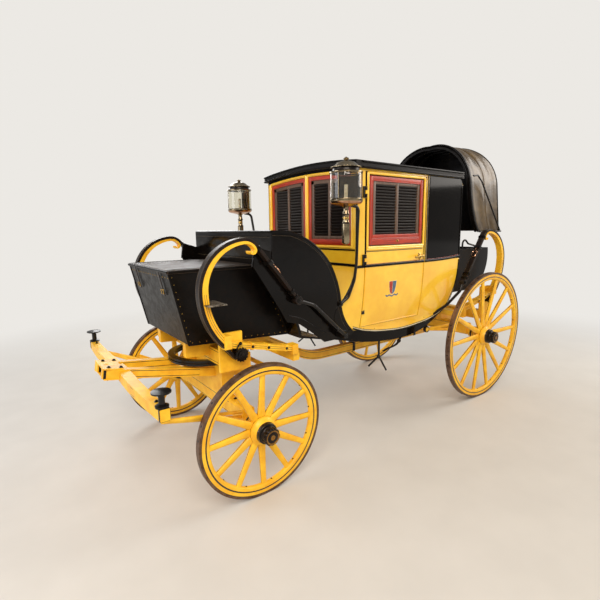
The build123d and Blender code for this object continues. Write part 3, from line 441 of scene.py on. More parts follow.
def hideFinish(name, look):
    # dressed leather: pebbled grain, soft creases, colour lifted where it is rubbed
    look = {**hideBase, **look}
    material, tree, surface = newFinish(name, **{"IOR": look["ior"], "Coat Weight": look["coat"],
            "Coat Roughness": look["coatRough"]})
    place = addNode(tree, "TexCoord")
    grain = addNode(tree, "TexVoronoi", {"feature": "SMOOTH_F1", "Scale": 1000 / look["grainMm"],
            "Smoothness": 0.6}, {"Vector": (place, "Object")})
    crease = addNode(tree, "TexNoise", {"Scale": 1000 / look["creaseMm"], "Detail": 5.0, "Roughness": 0.65,
            "Distortion": look["twist"]}, {"Vector": (place, "Object")})
    ramp = mixColours(tree, (crease, "Fac"), look["dark"], look["light"], look["steps"])
    feed(tree, surface, "Base Color", ramp, "Color")
    dull = addNode(tree, "MapRange", {"From Min": 0.3, "From Max": 0.7, "To Min": look["rough"][0],
            "To Max": look["rough"][1]}, {"Value": (crease, "Fac")})
    feed(tree, surface, "Roughness", dull, "Result")
    both = addNode(tree, "Math", {"operation": "MULTIPLY_ADD", 1: look["grainShare"]},
            {0: (grain, "Distance"), 2: (crease, "Fac")})
    bump = addNode(tree, "Bump", {"Strength": look["bump"], "Distance": look["deep"]}, {"Height": (both, "Value")})
    feed(tree, surface, "Normal", bump, "Normal")
    return material


metalBase = {"steps": (0.30, 0.72), "markMm": 2, "metal": 1.0}


def metalFinish(name, look):
    # worked metal: stretched polishing or rolling marks, tarnish in patches
    look = {**metalBase, **look}
    material, tree, surface = newFinish(name, **{"Metallic": look["metal"]})
    place = addNode(tree, "TexCoord")
    tarnish = addNode(tree, "TexNoise", {"Scale": 1000 / look["patchMm"], "Detail": 6.0, "Roughness": 0.68},
            {"Vector": (place, "Object")})
    ramp = mixColours(tree, (tarnish, "Fac"), look["dark"], look["light"], look["steps"])
    feed(tree, surface, "Base Color", ramp, "Color")
    fine = addNode(tree, "TexNoise", {"Scale": 1000 / look["markMm"], "Detail": 4.0}, {"Vector": (place, "Object")})
    dull = addNode(tree, "MapRange", {"From Min": 0.3, "From Max": 0.7, "To Min": look["rough"][0],
            "To Max": look["rough"][1]}, {"Value": (tarnish, "Fac")})
    feed(tree, surface, "Roughness", dull, "Result")
    bump = addNode(tree, "Bump", {"Strength": look["bump"], "Distance": 0.0005}, {"Height": (fine, "Fac")})
    feed(tree, surface, "Normal", bump, "Normal")
    return material


def grainFinish(name, look):
    # polished hardwood: long growth lines along one axis under varnish
    material, tree, surface = newFinish(name, **{"IOR": 1.5, "Coat Weight": look["coat"], "Coat Roughness": 0.06,
            "Roughness": look["rough"]})
    place = addNode(tree, "TexCoord")
    stretch = addNode(tree, "Mapping", {"Scale": look["stretch"]}, {"Vector": (place, "Object")})
    growth = addNode(tree, "TexNoise", {"Scale": 1.0, "Detail": 7.0, "Roughness": 0.6, "Distortion": 0.8},
            {"Vector": (stretch, "Vector")})
    ramp = mixColours(tree, (growth, "Fac"), look["dark"], look["light"], (0.32, 0.68))
    feed(tree, surface, "Base Color", ramp, "Color")
    bump = addNode(tree, "Bump", {"Strength": 0.12, "Distance": 0.0004}, {"Height": (growth, "Fac")})
    feed(tree, surface, "Normal", bump, "Normal")
    return material


# oil paint brushed and flatted, then varnished: warm chrome yellow with a wet shine
yellowPaint = paintFinish("brushed_chrome_yellow_coach_paint", {
        "dark": "#F4B81C", "light": "#FFCF30", "driftMm": 260, "speck": "#C98F1C", "speckMm": 22,
        "speckSteps": (0.70, 0.84), "brushMm": 5, "bump": 0.10, "rough": 0.34, "coat": 0.85, "coatRough": 0.06})
# the same paint on turned and sawn wood, handled and knocked: duller, with dirt
yellowWheelPaint = paintFinish("brushed_chrome_yellow_wheel_paint", {
        "dark": "#EBAA1A", "light": "#FCC62C", "driftMm": 90, "speck": "#8A5A10", "speckMm": 14,
        "speckSteps": (0.66, 0.82), "brushMm": 4, "bump": 0.18, "rough": 0.48, "coat": 0.15, "coatRough": 0.2,
        "ior": 1.42})
# thin black striping drawn with a long-haired brush in enamel
blackLining = paintFinish("hand_drawn_black_enamel_lining", {
        "dark": "#17100C", "light": "#231811", "speck": "#5A3A12", "bump": 0.08, "rough": 0.35, "coat": 0.5})
# many coats of black japan rubbed down: nearly a mirror
blackLacquer = paintFinish("rubbed_black_japan_lacquer", {
        "dark": "#070504", "light": "#0D0A08", "driftMm": 300, "speck": "#1C1510", "speckMm": 30,
        "speckSteps": (0.72, 0.90), "brushMm": 6, "bump": 0.04, "rough": 0.08, "coatRough": 0.03, "ior": 1.22})
# painted canvas of the roof: black, filled and flatted, so the sky doesn't mirror in it
roofCanvas = paintFinish("painted_roof_canvas", {
        "dark": "#080605", "light": "#120E0B", "driftMm": 220, "speck": "#2A2019", "speckMm": 16,
        "speckSteps": (0.68, 0.88), "brushMm": 7, "bump": 0.2, "rough": 0.5, "coatRough": 0.3, "ior": 1.28})
# painted shade, with some dirt, in a butt joint between two felloes and in the gap round a door
jointShadow = paintFinish("painted_shade_and_dirt_in_a_narrow_joint", {
        "dark": "#1A120A", "light": "#2E2010", "driftMm": 30, "speck": "#4A3417", "speckMm": 8, "rough": 0.7,
        "coatRough": 0.5})
# cream line painted along the black mouldings
creamLine = paintFinish("cream_coach_lining", {
        "dark": "#D8C68E", "light": "#EFE0B4", "driftMm": 60, "speck": "#A88C50", "speckMm": 10, "rough": 0.4,
        "coat": 0.4})
# smalt blue of the small painted shield, faded towards grey
smaltBlue = paintFinish("faded_smalt_blue_paint", {
        "dark": "#2F4A66", "light": "#4E6E8C", "speck": "#8C8468", "speckMm": 8, "rough": 0.4, "coat": 0.3})
# black paint over wrought iron: fuller, slightly lumpy
blackIron = paintFinish("black_painted_wrought_iron", {
        "dark": "#0A0807", "light": "#14100D", "driftMm": 50, "speck": "#3A291C", "speckSteps": (0.68, 0.86),
        "brushMm": 9, "bump": 0.35, "rough": 0.28, "coat": 0.1, "coatRough": 0.15, "ior": 1.36})
# patent leather of the dash: oiled and varnished hide, tight and wet-looking with long soft waves
patentHide = hideFinish("varnished_black_dash_leather", {
        "dark": "#070504", "light": "#0F0A07", "steps": (0.35, 0.75), "grainMm": 4.5, "creaseMm": 160, "twist": 0.6,
        "grainShare": 0.03, "deep": 0.007, "rough": (0.09, 0.17), "coatRough": 0.05, "ior": 1.27})
# boot leather: waxed black
bootHide = hideFinish("waxed_black_boot_leather", {
        "dark": "#080605", "light": "#16100C", "steps": (0.40, 0.80), "creaseMm": 60, "rough": (0.28, 0.46),
        "coatRough": 0.2, "ior": 1.25})
# lid of the boot: grey-brown leather on the flat top, partly rubbed and partly painted light where the top is lit
lidHide = hideFinish("rubbed_and_painted_light_boot_lid_leather", {
        "dark": "#1A130E", "light": "#453629", "steps": (0.30, 0.78), "creaseMm": 90, "twist": 1.2,
        "rough": (0.42, 0.62), "ior": 1.32})
# hood leather: old greased hide, pale and shiny on the folds, olive brown low down
hoodHide = hideFinish("greased_folding_hood_leather", {
        "dark": "#2A1E0F", "light": "#6B5633", "grainMm": 5.0, "creaseMm": 140, "twist": 0.9, "grainShare": 0.05,
        "bump": 0.30, "deep": 0.004, "rough": (0.26, 0.42), "coat": 0.15, "ior": 1.42})
# harness leather of the thoroughbraces: stacked thick straps, waxed brown-black
strapHide = hideFinish("waxed_harness_strap_leather", {
        "dark": "#0F0906", "light": "#281A11", "grainMm": 3.5, "creaseMm": 34, "grainShare": 0.18, "bump": 0.45,
        "deep": 0.0015, "rough": (0.32, 0.52), "coat": 0.05, "coatRough": 0.3, "ior": 1.38})
seatHide = hideFinish("buttoned_brown_seat_leather", {
        "dark": "#3A2113", "light": "#6B4126", "steps": (0.30, 0.78), "grainMm": 3.5, "creaseMm": 50, "twist": 0.6,
        "grainShare": 0.15, "rough": (0.34, 0.5), "coat": 0.2})
waxThread = hideFinish("waxed_linen_stitching", {
        "dark": "#4A3C2A", "light": "#8F7A58", "steps": (0.3, 0.7), "grainMm": 1.5, "creaseMm": 12, "twist": 0.2,
        "grainShare": 0.3, "bump": 0.4, "deep": 0.0005, "rough": (0.6, 0.75), "coatRough": 0.5})
# hoop iron worn bright by the road, brown with thin rust
tyreIron = metalFinish("rolled_iron_tyre", {
        "dark": "#4A3222", "light": "#8C7260", "patchMm": 60, "markMm": 3, "metal": 0.75, "rough": (0.36, 0.55),
        "bump": 0.5})
# cast and file-finished iron of ratchets and caps under old black
capIron = metalFinish("black_cast_iron_cap", {
        "dark": "#0D0A08", "light": "#2B2019", "steps": (0.35, 0.75), "patchMm": 18, "markMm": 2.5, "metal": 0.55,
        "rough": (0.24, 0.42), "bump": 0.35})
# polished yellow brass, a little tarnished in the hollows
brassMetal = metalFinish("polished_cast_brass", {
        "dark": "#9A7636", "light": "#D9B66A", "patchMm": 30, "rough": (0.14, 0.30), "bump": 0.12})
bronzeCap = metalFinish("worn_bronze_axle_cap", {
        "dark": "#7A5426", "light": "#B98A4A", "patchMm": 14, "metal": 0.95, "rough": (0.28, 0.44), "bump": 0.2})
# close-plated lamp metal: silver over copper, warm where it has worn
silverPlate = metalFinish("spun_silver_plated_lamp_metal", {
        "dark": "#665640", "light": "#A6977A", "steps": (0.28, 0.70), "patchMm": 60, "rough": (0.14, 0.24),
        "bump": 0.05})
# lamp reflector: dark brown and matt
darkTinReflector = metalFinish("dark_matt_tin_reflector", {
        "dark": "#1E150C", "light": "#54432A", "steps": (0.28, 0.72), "patchMm": 40, "markMm": 3, "metal": 0.0,
        "rough": (0.75, 0.9), "bump": 0.1})
copperBuckle = metalFinish("polished_copper_buckle", {
        "dark": "#8A5A3C", "light": "#D8AE90", "steps": (0.28, 0.66), "patchMm": 20, "rough": (0.14, 0.28),
        "bump": 0.1})
# iron tread plate, trodden bright
treadIron = metalFinish("trodden_step_iron", {
        "dark": "#3A332B", "light": "#A89F8F", "steps": (0.38, 0.66), "patchMm": 24, "markMm": 3, "metal": 0.85,
        "rough": (0.30, 0.5), "bump": 0.5})
# varnished mahogany: red-brown with dark lines along the length
mahoganyTall = grainFinish("varnished_mahogany_stile", {
        "dark": "#7E1A08", "light": "#C63A12", "stretch": (160.0, 160.0, 9.0), "rough": 0.36, "coat": 0.12})
mahoganyLong = grainFinish("varnished_mahogany_rail", {
        "dark": "#7E1A08", "light": "#C63A12", "stretch": (9.0, 9.0, 160.0), "rough": 0.36, "coat": 0.12})
# stained slats of the shutters, darker still as painted shade
slatWood = grainFinish("stained_shutter_slats_with_painted_shade", {
        "dark": "#0B0705", "light": "#1E120B", "stretch": (12.0, 12.0, 220.0), "rough": 0.42, "coat": 0.05})
shutterStile = grainFinish("stained_shutter_stiles", {
        "dark": "#3E2A1C", "light": "#6E5440", "stretch": (120.0, 120.0, 10.0), "rough": 0.42, "coat": 0.1})
ashWood = grainFinish("oiled_ash_boards", {
        "dark": "#5E4527", "light": "#8A6B43", "stretch": (10.0, 120.0, 120.0), "rough": 0.5, "coat": 0.1})
# blown crown glass: clear, with a slow wave
clearGlass, glassTree, glassSurface = newFinish("blown_clear_lamp_glass", **{
        "Base Color": linearRgb("#F4F1E6"), "Roughness": 0.02, "IOR": 1.5, "Transmission Weight": 1.0})
glassPlace = addNode(glassTree, "TexCoord")
glassWave = addNode(glassTree, "TexNoise", {"Scale": 25.0, "Detail": 1.0}, {"Vector": (glassPlace, "Object")})
glassBump = addNode(glassTree, "Bump", {"Strength": 0.10, "Distance": 0.001}, {"Height": (glassWave, "Fac")})
feed(glassTree, glassSurface, "Normal", glassBump, "Normal")
# bleached candle wax: warm white, light soaks in
candleWax, waxTree, waxSurface = newFinish("bleached_candle_wax", **{"Roughness": 0.42, "IOR": 1.44,
        "Subsurface Weight": 0.2, "Subsurface Radius": (0.01, 0.006, 0.003)})
waxPlace = addNode(waxTree, "TexCoord")
waxNoise = addNode(waxTree, "TexNoise", {"Scale": 60.0, "Detail": 3.0}, {"Vector": (waxPlace, "Object")})
waxRamp = mixColours(waxTree, (waxNoise, "Fac"), "#E3D6B8", "#F6EFDD")
feed(waxTree, waxSurface, "Base Color", waxRamp, "Color")
print("finishes ready")

# Studio: camera at the photograph's angle, pale floor, soft lights

cameraLook = {"at": (2.4921, 2.8716, 1.6959), "lens": 24.908, "sensor": 36.0,
        "right": (-0.799724, 0.600211, -0.013754), "up": (-0.112576, -0.127416, 0.98544),
        "back": (0.589719, 0.789628, 0.169467)}
cameraData = bpy.data.cameras.new("camera")
cameraData.lens, cameraData.sensor_width = cameraLook["lens"], cameraLook["sensor"]
camera = bpy.data.objects.new("camera", cameraData)
bpy.context.scene.collection.objects.link(camera)
turn = Matrix((cameraLook["right"], cameraLook["up"], cameraLook["back"])).transposed()
camera.matrix_world = Matrix.Translation(cameraLook["at"]) @ turn.to_4x4()
bpy.context.scene.camera = camera
bpy.context.scene.view_settings.view_transform = "Standard"

floorLook = {"half": 40.0, "colour": "#CFCBC4"}
floorMaterial, floorTree, floorSurface = newFinish("matt_pale_studio_floor", **{"Roughness": 0.7})
floorPlace = addNode(floorTree, "TexCoord")
floorNoise = addNode(floorTree, "TexNoise", {"Scale": 3.0, "Detail": 3.0}, {"Vector": (floorPlace, "Object")})
floorRamp = mixColours(floorTree, (floorNoise, "Fac"), "#CBC7C0", floorLook["colour"])
feed(floorTree, floorSurface, "Base Color", floorRamp, "Color")
# far from the object the floor runs into the pale backdrop
farOff = addNode(floorTree, "VectorMath", {"operation": "LENGTH"}, {0: (floorPlace, "Object")})
fade = addNode(floorTree, "MapRange", {"interpolation_type": "SMOOTHSTEP", "From Min": 2.6, "From Max": 6.5},
        {"Value": (farOff, "Value")})
glow = addNode(floorTree, "Emission", {"Color": linearRgb("#ECE9E4"), "Strength": 1.0})
ground = addNode(floorTree, "MixShader", {}, {"Fac": (fade, "Result"), 1: (floorSurface, "BSDF"),
        2: (glow, "Emission")})
floorTree.links.new(ground.outputs["Shader"], [n for n in floorTree.nodes
        if n.type == "OUTPUT_MATERIAL"][0].inputs["Surface"])
side = np.linspace(-floorLook["half"], floorLook["half"], 9)
floorX, floorY = np.meshgrid(side, side, indexing="ij")
floorMesh = bpy.data.meshes.new("studio_floor")
floorMesh.from_pydata(np.stack([floorX.ravel(), floorY.ravel(), np.full(81, -0.0005)], 1).tolist(), [],
        gridFaces(9, 9, flip=True).tolist())
floorMesh.materials.append(floorMaterial)
floorPiece = bpy.data.objects.new("studio_floor", floorMesh)
bpy.context.scene.collection.objects.link(floorPiece)

lampLooks = {
        "key": {"at": (3.4, 4.2, 4.6), "to": (0.2, 0.2, 1.0), "size": 3.2, "power": 300, "colour": "#FFF4E6"},
        "fill": {"at": (5.5, -1.5, 2.6), "to": (0.2, 0.0, 1.0), "size": 3.0, "power": 110, "colour": "#F4F6FF"},
        "back": {"at": (-4.6, 2.4, 3.8), "to": (-0.4, 0.0, 1.2), "size": 3.0, "power": 160, "colour": "#FFF8F0"},
        "right": {"at": (-0.5, -5.0, 3.6), "to": (0.0, 0.0, 1.0), "size": 3.2, "power": 160, "colour": "#FFFFFF"}}
for name, look in lampLooks.items():
    data = bpy.data.lights.new(name, "AREA")
    data.energy, data.size, data.color = look["power"], look["size"], linearRgb(look["colour"])[:3]
    lampPiece = bpy.data.objects.new(name, data)
    bpy.context.scene.collection.objects.link(lampPiece)
    at, to = np.array(look["at"]), np.array(look["to"])
    back = unit(at - to)
    across = unit(np.cross(toTop, back))
    turn = Matrix((across, np.cross(back, across), back)).transposed()
    lampPiece.matrix_world = Matrix.Translation(look["at"]) @ turn.to_4x4()
    # no lamp shows through the glass drums
    lampPiece.visible_transmission = False

world = bpy.data.worlds.new("studio")
bpy.context.scene.world = world
world.use_nodes = True
sky = world.node_tree
sky.nodes.clear()
soft = addNode(sky, "Background", {"Color": linearRgb("#F3F1EE"), "Strength": 0.42})
pale = addNode(sky, "Background", {"Color": linearRgb("#ECE9E4"), "Strength": 1.0})
rays = addNode(sky, "LightPath")
seen = addNode(sky, "Math", {"operation": "MAXIMUM"}, {0: (rays, "Is Camera Ray"),
        1: (rays, "Is Transmission Ray")})
both = addNode(sky, "MixShader", {}, {"Fac": (seen, "Value"), 1: (soft, "Background"), 2: (pale, "Background")})
addNode(sky, "OutputWorld", {}, {"Surface": (both, "Shader")})
print("studio ready")

# CAD nodes that keep their own shape

nodeFinishes = [
        (blackIron, "door_hinges body_irons lamp_irons hood_irons rumble_irons rumble_rails drag_forks roller_bolts "
                "lower_ring upper_ring"),
        (yellowWheelPaint, "front_springs rear_springs perch transom rear_axle rear_stays fore_stays front_axle "
                "futchells splinter_bar"),
        (yellowPaint, "front_wall left_side right_side left_door right_door"), (blackLacquer, "rockers"),
        (roofCanvas, "roof rear_wall"), (bootHide, "boot rumble_seat"), (lidHide, "boot_lid"), (patentHide, "dash"),
        (hoodHide, "hood"), (strapHide, "front_thoroughbraces rear_thoroughbraces"),
        (seatHide, "seat_cushions rumble_cushion"),
        (ashWood, "floor seat_bench"), (slatWood, "left_door_shutter right_door_shutter front_shutters"),
        (capIron, "windlasses"), (treadIron, "spring_steps"), (silverPlate, "lamps"), (clearGlass, "lamp_glasses"),
        (brassMetal, "left_door_handle right_door_handle")]
for corner in ("front_left", "front_right", "rear_left", "rear_right"):
    nodeFinishes += [(tyreIron, corner + "_tyre"), (yellowWheelPaint, corner + "_wheel"),
            (capIron, corner + "_hub_cap")]
for finish, names in nodeFinishes:
    for node in names.split():
        solid = frame["nodes"][node]
        if not solid.material_slots:
            solid.data.materials.append(finish)
        for slot in solid.material_slots:
            slot.link = "OBJECT"
            slot.material = finish
print("carried-over nodes finished")

# Wheels: each is a nave, shaped spokes and sawn felloes with black lining, and a fluted cap

wheelLook = {"front": (0, 440, 12), "rear": (-2590, 627, 14), "camber": 1.8, "trackHalf": 760, "tyreHalf": 21,
        "tyreThick": 15, "felloeDeep": 56, "felloeWide": 40, "lineIn": 24, "lineWide": 9, "dish": 24, "naveR": 92,
        "naveEndR": 62, "naveOut": 62, "spokeWide": 58, "spokeDeep": 34,
        "flutes": 12, "fluteDeep": 0.17, "jointHalf": 0.0022}


def wheelFrame(x, side, r):
    # centre of a wheel that leans out by the camber with its tyre on the floor, and its three directions
    lean = math.radians(wheelLook["camber"])
    centre = np.array([x, side * wheelLook["trackHalf"], r * math.cos(lean)
            + wheelLook["tyreHalf"] * math.sin(lean)])
    out = np.array([0, side * math.cos(lean), -math.sin(lean)])
    return centre, np.array([1.0, 0, 0]), np.cross(out, toFront), out


def wheelParts(x, side, r, spokes):
    # paints: 0 yellow, 1 black line, which is also painted shadow in a thin band next to the tyre, 2 painted shade
    # in the felloe joints, 3 iron
    look = wheelLook
    centre, first, second, out = wheelFrame(x, side, r)
    rim, half = r - look["tyreThick"], look["felloeWide"] / 2
    inner = rim - look["felloeDeep"]
    a, b = rim - look["lineIn"], rim - look["lineIn"] - look["lineWide"]
    ring = [(rim, -half), (rim, half), (rim - 3, half + 0.1), (a, half), (b, half), (inner + 9, half),
            (inner + 3, half - 4),
            (inner, half - 9), (inner - 1.5, 0), (inner, 9 - half), (inner + 3, 4 - half), (inner + 9, -half),
            (b, -half), (a, -half), (rim - 3, -half - 0.1), (rim, -half)]
    # painted shadow: on each face the 3 mm black band next to the tyre is the shadow between tyre and felloe; the
    # wider black bands are lining
    paint = np.array([0, 1, 0, 1, 0, 0, 0, 0, 0, 0, 0, 0, 1, 0, 1])
    felloes = spokes // 2
    joints = (np.arange(felloes) + 0.25) * 2 * math.pi / felloes
    turn = np.sort(np.concatenate([np.arange(spokes * 8) * 2 * math.pi / (spokes * 8), joints - look["jointHalf"],
            joints + look["jointHalf"]]))
    shape, faces, tint = lathe(ring, centre, out, paint=paint, shut=False, turn=turn)
    columns = np.tile(np.arange(len(turn)), len(ring) - 1)
    steps = np.diff(np.append(turn, turn[0] + 2 * math.pi))
    # painted shade: the narrow columns at the felloe joints take the dark joint paint
    gap = np.isin(columns, np.nonzero(np.isclose(steps, 2 * look["jointHalf"], atol=1e-4))[0])
    parts = [(shape, faces, np.where(gap, 2, tint))]
    nave = [(40, -130), (58, -130), (look["naveEndR"], -127), (64, -121), (64.5, -108), (66, -104), (69, -96),
            (71, -91),
            (72, -87), (77, -76), (82, -66), (88, -61), (92, -58), (92, -47), (92, -44), (92, -40), (92, -8),
            (92, -4),
            (92, -1), (92, 9), (88, 12), (82, 17), (75, 26), (70, 36), (68, 42), (67, 46), (67, 58), (64, 61),
            (62, 62), (40, 62)]
    shades = [3, 3, 3, 3, 3, 0, 0, 1, 0, 0, 0, 0, 0, 0, 1, 0, 1, 0, 0, 0, 0, 0, 0, 1, 1, 3, 3, 3, 3]
    parts.append(lathe(nave, centre, out, 56, shades))
    root, tip = look["naveR"] - 14, inner + 12
    w, d = look["spokeWide"] / 2, look["spokeDeep"] / 2
    profile = [(d, -w * 0.10), (d, w * 0.10), (d * 0.96, w * 0.45), (d * 0.80, w * 0.78), (d * 0.45, w * 0.97),
            (d * 0.12, w), (-d * 0.12, w), (-d * 0.45, w * 0.97), (-d * 0.80, w * 0.78), (-d * 0.96, w * 0.45)]
    profile += [(-u, -v) for u, v in profile]
    lined = [0, 0, 0, 0, 0, 1, 0, 0, 0, 0] * 2
    t = np.array([0, 0.03, 0.09, 0.16, 0.26, 0.4, 0.55, 0.7, 0.82, 0.9, 0.955, 1.0])
    wide = np.interp(t, [0, 0.09, 0.26, 0.8, 0.93, 1], [0.98, 0.94, 0.80, 0.64, 0.62, 0.655])
    deep = np.interp(t, [0, 0.09, 0.26, 0.8, 1], [1.0, 0.99, 0.90, 0.80, 0.765])
    for k in range(spokes):
        angle = k * 2 * math.pi / spokes
        radial = math.cos(angle) * first + math.sin(angle) * second
        path = centre + (root + (tip - root) * t)[:, None] * radial + (-look["dish"] * (1 - t))[:, None] * out
        parts.append(carry(profile, path, out, lined, grow=np.stack([deep, wide], 1)))
        for turnStep in (0.31, 0.69):
            bolt = angle + turnStep * 2 * math.pi / spokes
            spoke = math.cos(bolt) * first + math.sin(bolt) * second
            if turnStep < 0.5:
                parts.append(dome(centre + inner * spoke, -spoke, 7, 5, 3, 8, 3))
            parts.append(lathe([(7.5, -1), (7.5, 0.8), (5.5, 1.2)], centre + (r - 0.5) * spoke, spoke, 8, 3))
    return parts


def capParts(x, side, r):
    # fluted cap: the radius goes in and out twelve times round; paints: 0 black iron, 1 bronze, 2 brass rim
    look = wheelLook
    centre, first, second, out = wheelFrame(x, side, r)
    angle = np.linspace(0, 2 * math.pi, 96, endpoint=False)
    rows = np.array([(50, 0, 0), (55, 0, 0), (57.5, 3, 0), (57.5, 12, 0), (55, 15, 0), (54, 18, 0.2), (56, 22, 1),
            (57, 30, 1),
            (57, 42, 1), (54, 49, 0.8), (50, 52.5, 0.3), (46, 54, 0), (40, 54.5, 0), (37, 52, 0), (34, 51, 0),
            (30, 53.5, 0), (16, 54.8, 0), (6, 55, 0), (2, 55, 0)])
    lobes = np.abs(np.cos(angle * look["flutes"] / 2)) ** 0.6
    radius = rows[:, None, 0] * (1 - look["fluteDeep"] * rows[:, None, 2] * (1 - lobes))
    grid = (centre + (look["naveOut"] + rows[:, None, 1, None]) * out
            + (radius * np.cos(angle))[..., None] * first + (radius * np.sin(angle))[..., None] * second)
    faces = gridFaces(len(rows), 96, False, True).tolist()
    tint = np.repeat([0] * 11 + [1, 1, 0, 0, 0, 1, 1], 96)
    faces += [list(range(96))[::-1], [(len(rows) - 1) * 96 + n for n in range(96)]]
    return [(grid.reshape(-1, 3), faces, np.append(tint, [0, 1]))]


for corner, side in (("front_left", 1), ("front_right", -1), ("rear_left", 1), ("rear_right", -1)):
    x, r, spokes = wheelLook[corner.split("_")[0]]
    putMesh(corner + "_felloes_and_spokes", wheelParts(x, side, r, spokes),
            [yellowWheelPaint, blackLining, jointShadow, blackIron], corner + "_wheel",
            covers=[corner + "_wheel"])
    putMesh(corner + "_fluted_cap", capParts(x, side, r), [capIron, bronzeCap, brassMetal], corner + "_wheel",
            covers=[corner + "_hub_cap"])
print("wheels ready")

# Body: black upper quarters, mouldings, window frames and louvred shutters

bodyLook = {"out": 597.0, "front": -960.0, "rear": -2335.0, "belt": 1400.0, "doorX": (-1800.0, -1055.0),
        "crown": 36.0, "roofOver": 26, "sill": 541.8}


def sidePanel(points, lift=0.9, paint=0, rows=2, least=0.0):
    # strip between two lines of X and Z, laid on the side's curve but never nearer than least
    low, high = (np.asarray(p, float) for p in points)
    t = np.linspace(0, 1, rows)[:, None, None]
    xz = low[None] * (1 - t) + high[None] * t
    flat = xz.reshape(-1, 2)
    grid = onSide(flat, bodyLook["out"], lift)
    grid[:, 1] = np.maximum(grid[:, 1], least)
    count = xz.shape[1]
    faces = gridFaces(rows, count).tolist()
    a, b, c = grid[faces[0][0]], grid[faces[0][1]], grid[faces[0][2]]
    if np.cross(b - a, c - a)[1] < 0:
        faces = [row[::-1] for row in faces]
    back = grid - (0, 2.0, 0)
    edge = list(range(count)) + [k * count + count - 1 for k in range(1, rows)]
    edge += [(rows - 1) * count + n for n in range(count - 2, -1, -1)] + [k * count for k in range(rows - 2, 0, -1)]
    total = len(grid)
    rim = [[m, n, n + total, m + total] for m, n in zip(edge, edge[1:] + edge[:1])]
    whole = np.concatenate([grid, back])
    first = np.cross(whole[rim[0][1]] - whole[rim[0][0]], whole[rim[0][2]] - whole[rim[0][0]])
    inside = grid.mean(0) - grid[rim[0][0]]
    if np.dot(first, inside) > 0:
        rim = [row[::-1] for row in rim]
    return np.concatenate([grid, back]), faces + [[n + total for n in row[::-1]] for row in faces] + rim, paint


rearLine = np.linspace(bodyLook["rear"] - 1.6, bodyLook["doorX"][0] - 34, 60)
topLine = 2 + np.interp(rearLine, [-2335, -2320, -2300, -2280, -2265], [2058, 2095, 2117, 2126, 2128])
quarter = sidePanel((np.stack([rearLine, np.full(60, bodyLook["belt"])], 1), np.stack([rearLine, topLine], 1)))
putMesh("black_rear_quarters", bothSides([quarter]), [blackLacquer], "coach")
# painted shade: a dark line sunk in the gap round the door
seamLoop = runs(((-1058.5, 2112), (-1058.5, 904), 30), ((-1062, 903.5), (-1792, 903.5), 12),
        ((-1795, 906), (-1795, 2110), 30), ((-1792, 2112.5), (-1062, 2112.5), 12))
gapLine = layBead(softBar(6, 3, 0.5), onSide(seamLoop, lift=-6.0), (0, 1.0, 0.02), 0, True)
putMesh("door_gap_shadow", bothSides([gapLine]), [jointShadow], "coach")

# the belt moulding runs round the body; a red line is painted along its top
beltPath = np.array([(-956, 1400), (-1010, 1400), (-1052, 1400), (-1054, 1400)])
beltRear = np.array([(-1806, 1400), (-1900, 1400), (-2000, 1401), (-2080, 1403), (-2160, 1406), (-2240, 1411),
        (-2300, 1417), (-2331, 1421)])
beltBead = bead(22, 8, 9)


def sideBead(points, profile, paint=0, lift=0.0, least=0.0):
    # moulding carried along points of X and Z on the side, never nearer than least
    path = onSide(points, bodyLook["out"], lift)
    path[:, 1] = np.maximum(path[:, 1], least)
    return layBead(profile, path, (0, 1.0, 0.02), paint)


trims = [sideBead(beltPath, beltBead, 0), sideBead(beltRear, beltBead, 0)]
trims.append(sideBead(beltRear + (0, 14.5), bead(3.2, 2.6, 5), 1))
# quarter panel's frame and the upright beside the door; the upright nearer the door is silver, a painted highlight
# along the door's edge
for x in (-1812, -1838):
    trims.append(sideBead([(x, 1415), (x, 1700), (x, 2000), (x, 2124)], bead(9, 6, 7), 0 if x < -1830 else 2))
x = bodyLook["rear"] + 14
trims.append(sideBead([(x, 1432), (x, 1700), (x, 2000), (x + 3, 2052)], bead(12, 7, 7), 0))
# painted highlight: a silver strip beside the door stands for the light along the door's edge
trims.append(sideBead([(-1825, 1402), (-1825, 1700), (-1825, 2000), (-1825, 2140)], bead(14, 4, 7), 2))
# front corner: upright black moulding from roof to belt, and down the curve of the body's front edge
corner = outline((-962, 2124), (-962, 1400), ((-926, 1290), (-820, 1136)), ((-766, 1064), (-772, 1000)),
        ((-822, 932), (-962, 908)), count=14)
trims.append(sideBead(corner - (4, 0), bead(15, 7, 7), 0))
# lower edge: a black half-round with a cream line above it, from the front corner round to the rear
sillLine = [(-983, 914), (-1050, 891), (-1110, 872), (-1180, 857), (-1248, 844), (-1320, 835), (-1390, 828),
        (-1538, 817), (-1688, 819), (-1780, 826), (-1922, 839), (-2048, 865), (-2110, 884), (-2156, 906)]
lowerEdge = smoothPath(sillLine + [(-2200, 944), (-2236, 990), (-2284, 1104), (-2314, 1230), (-2328, 1395)], 6)
sill = bodyLook["sill"]
trims.append(sideBead(lowerEdge + (0, 9), bead(5, 3.0, 5), 0, 0.8, least=sill + 0.6))
trims.append(sideBead(lowerEdge + (0, 3), bead(7, 4.2, 7), 3, 0.8, least=sill + 0.6))
trims.append(sideBead(lowerEdge - (0, 7), bead(14, 6.5, 7), 0, least=sill))
skirt = smoothPath(sillLine, 6)
skirt = skirt[skirt[:, 1] < 903]
putMesh("painted_sill_skirts", bothSides([sidePanel((skirt,
        np.column_stack([skirt[:, 0], np.full(len(skirt), 905.0)])), rows=8,
        least=sill)]), [yellowPaint], "coach")
# the black of the quarter goes round the panel's rear edge and over its rounded top
rearEdge = smoothPath([(-2336.4, 1424), (-2336.4, 1750), (-2336.4, 2050), (-2332, 2078), (-2320, 2099),
        (-2300, 2119), (-2270, 2129)], 6)
trims.append(carry(softBar(107, 2.4, 0.8), inXz(rearEdge, 544.6), toLeft))
putMesh("body_mouldings", bothSides(trims), [blackLacquer, mahoganyLong, silverPlate, creamLine], "coach")

